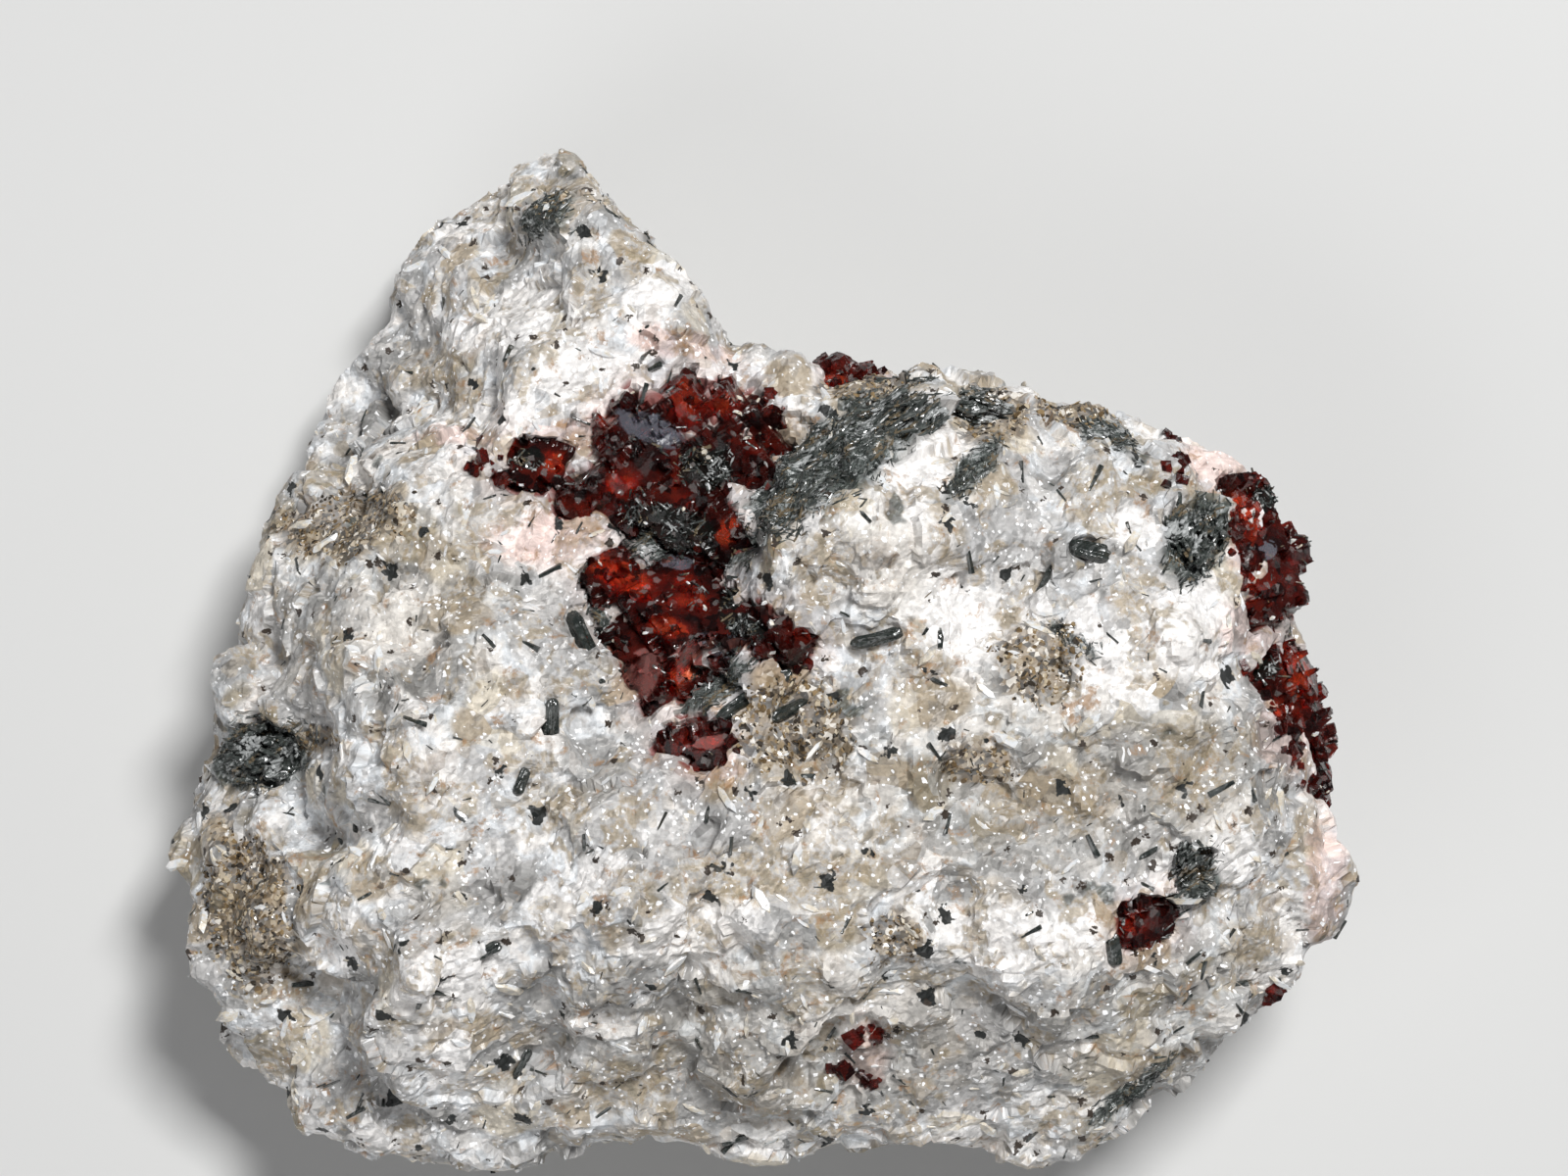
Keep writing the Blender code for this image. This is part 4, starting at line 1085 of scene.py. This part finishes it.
aegirine = aegirine_material("aegirine", (0.13, 0.145, 0.135), 0.8)
dark_aegirine = aegirine_material("aegirine_prisms", (0.030, 0.038, 0.033), 0.1)
for seed, name in enumerate(dark_nodes):
    new_name = name.replace("aegirine", "black_aegirine")
    count = AEGIRINE_BLADES.get(name)
    crystal = blade_mat(name, new_name, count, seed) if count else striped_prism(name, new_name)
    keep_in_box(crystal.data)
    crystal.data.materials.append(aegirine if count else dark_aegirine)
    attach(crystal, "root")
    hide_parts(name)


# Aegirine felt and needles: in the dark patches the blades are finer than a hair and lie matted one way, and
# over the rest of the rock single needles stick in the pale grains.

scattered(
    "aegirine_felt", aegirine, blade_shape, "felt_share", 17,
    crystal_sizes(17.0, length=(0.25, 1.2), width=0.20, depth=0.18, sink=-0.02, lean=0.35, spin=0.9),
    heading="felt_heading",
)
scattered(
    "aegirine_needles", dark_aegirine, blade_shape, "bare", 29,
    crystal_sizes(0.035, length=(0.5, 2.0), width=0.26, depth=0.22, sink=0.0, lean=0.16),
)

# Aegirine and feldspar in the red masses: the villiaumite closed round both, so dark blades and pale crumbs
# stand in its broken face.

CRUMBS_EVERYWHERE = 0.35
CRUMBS_IN_CLOUDS = 1.3
CRUMB_CLOUD_SCALE = 0.35
red_skin = joined(red_copies, "red_skin")
skin_places = corner_places(red_skin.data) / MM
matted = patch_strength(skin_places, ROCK_PATCHES["dark_mat"])
matted = ragged(matted, 0.35 * soft_noise_at(skin_places, RIM_WANDER), rim=0.35, least=0.04)
keep_values(red_skin.data, "blade_share", matted)
crumbled = CRUMBS_EVERYWHERE + CRUMBS_IN_CLOUDS * soft_noise_at(skin_places, CRUMB_CLOUD_SCALE)
keep_values(red_skin.data, "crumb_share", np.clip(crumbled, 0.0, 1.0))
scattered(
    "aegirine_in_villiaumite", aegirine, blade_shape, "blade_share", 67,
    crystal_sizes(7.0, length=(0.25, 1.1), width=0.24, depth=0.20, sink=-0.02, lean=0.5),
    skin=red_skin,
)
scattered(
    "feldspar_in_villiaumite", feldspar, plate_shape, "crumb_share", 71,
    crystal_sizes(0.32, length=(0.14, 0.8), width=0.5, depth=0.3, sink=0.04, lean=0.6),
    skin=red_skin,
)
bpy.data.objects.remove(red_skin)

# Brown spangles: nests of thin golden-brown flakes in the rock, each flat and shiny, that lie at all angles
# and glitter. They grew where the aegirine and the pale grains met.


def flake_material():
    made, tree, shader = new_material("brown_flakes")
    tone = cell_numbers(tree, place_in_mm(tree), 2.4)
    body = ramp(
        tree,
        tone[0],
        [(0.0, (0.030, 0.022, 0.014)), (0.30, (0.13, 0.085, 0.040)), (0.58, (0.26, 0.18, 0.09)),
         (0.82, (0.50, 0.42, 0.30))],
        "CONSTANT",
    )
    tree.links.new(body, shader.inputs["Base Color"])
    tree.links.new(between(tree, tone[1], 0.0, 1.0, 0.14, 0.42), shader.inputs["Roughness"])
    shader.inputs["Specular IOR Level"].default_value = 0.75
    return made


scattered(
    "brown_flakes", flake_material(), plate_shape, "flake_share", 41,
    crystal_sizes(5.5, length=(0.22, 0.75), width=0.8, depth=0.16, sink=-0.02, lean=0.6),
)

# Small grains of villiaumite: single red crystals round the large masses and at a few places of their own.
# They are set in the rock as the large ones are, and broken into small cubes.

scattered(
    "small_red_grains", villiaumite, cube_shape, "red_share", 53,
    crystal_sizes(4.0, length=(0.35, 1.1), width=0.9, depth=0.8, sink=0.05, lean=0.7),
)


# The studio: a pale table that the rock lies on, one lamp above it to the upper right, a broad and weaker
# one from the lower left, and a faint sky.

FLOOR_REACH = 3.0
ROCK_MIDDLE = (0.0, 0.0, 0.02)
KEY_WATTS = 3.9
FILL_WATTS = 1.35
floor_corners = [(x * FLOOR_REACH, y * FLOOR_REACH, 0.0) for x, y in ((-1, -1), (1, -1), (1, 1), (-1, 1))]
floor_mesh = bpy.data.meshes.new("floor")
floor_mesh.from_pydata(floor_corners, [], [(0, 1, 2, 3)])
floor = put_in_scene("floor", floor_mesh)
floor_material, _, floor_shader = new_material("pale_table")
floor_shader.inputs["Base Color"].default_value = (0.62, 0.62, 0.61, 1.0)
floor_shader.inputs["Roughness"].default_value = 0.8
floor_mesh.materials.append(floor_material)


def add_lamp(name, place, size, watts):
    lamp = bpy.data.lights.new(name, "AREA")
    lamp.size = size
    lamp.energy = watts
    holder = put_in_scene(name, lamp)
    holder.location = place
    holder.rotation_euler = (Vector(place) - Vector(ROCK_MIDDLE)).to_track_quat("Z", "Y").to_euler()


add_lamp("key_lamp", (0.15, 0.20, 0.56), 0.14, KEY_WATTS)
add_lamp("fill_lamp", (-0.30, -0.42, 0.40), 0.50, FILL_WATTS)
world = bpy.data.worlds.new("studio")
world.use_nodes = True
sky = world.node_tree.nodes["Background"].inputs
sky["Color"].default_value = (0.9, 0.92, 1.0, 1.0)
sky["Strength"].default_value = 0.12
bpy.context.scene.world = world
bpy.context.scene.view_settings.view_transform = "Standard"

# The camera looks almost straight down at the display face, as the photograph does, with the rock a little
# below the middle of the frame.

FRAME_WIDTH = 0.1106
CAMERA_AWAY = 0.32
CAMERA_ELEVATION = 86.0
CAMERA_TARGET = (0.91, 5.6, 24.0)
camera_data = bpy.data.cameras.new("camera")
camera_data.lens = camera_data.sensor_width * CAMERA_AWAY / FRAME_WIDTH
camera = put_in_scene("camera", camera_data)
lift = math.radians(CAMERA_ELEVATION)
back = Vector((0.0, -math.cos(lift), math.sin(lift)))
camera.location = Vector(CAMERA_TARGET) * MM + back * CAMERA_AWAY
camera.rotation_euler = back.to_track_quat("Z", "Y").to_euler()
camera_data.clip_start = 0.01
bpy.context.scene.camera = camera
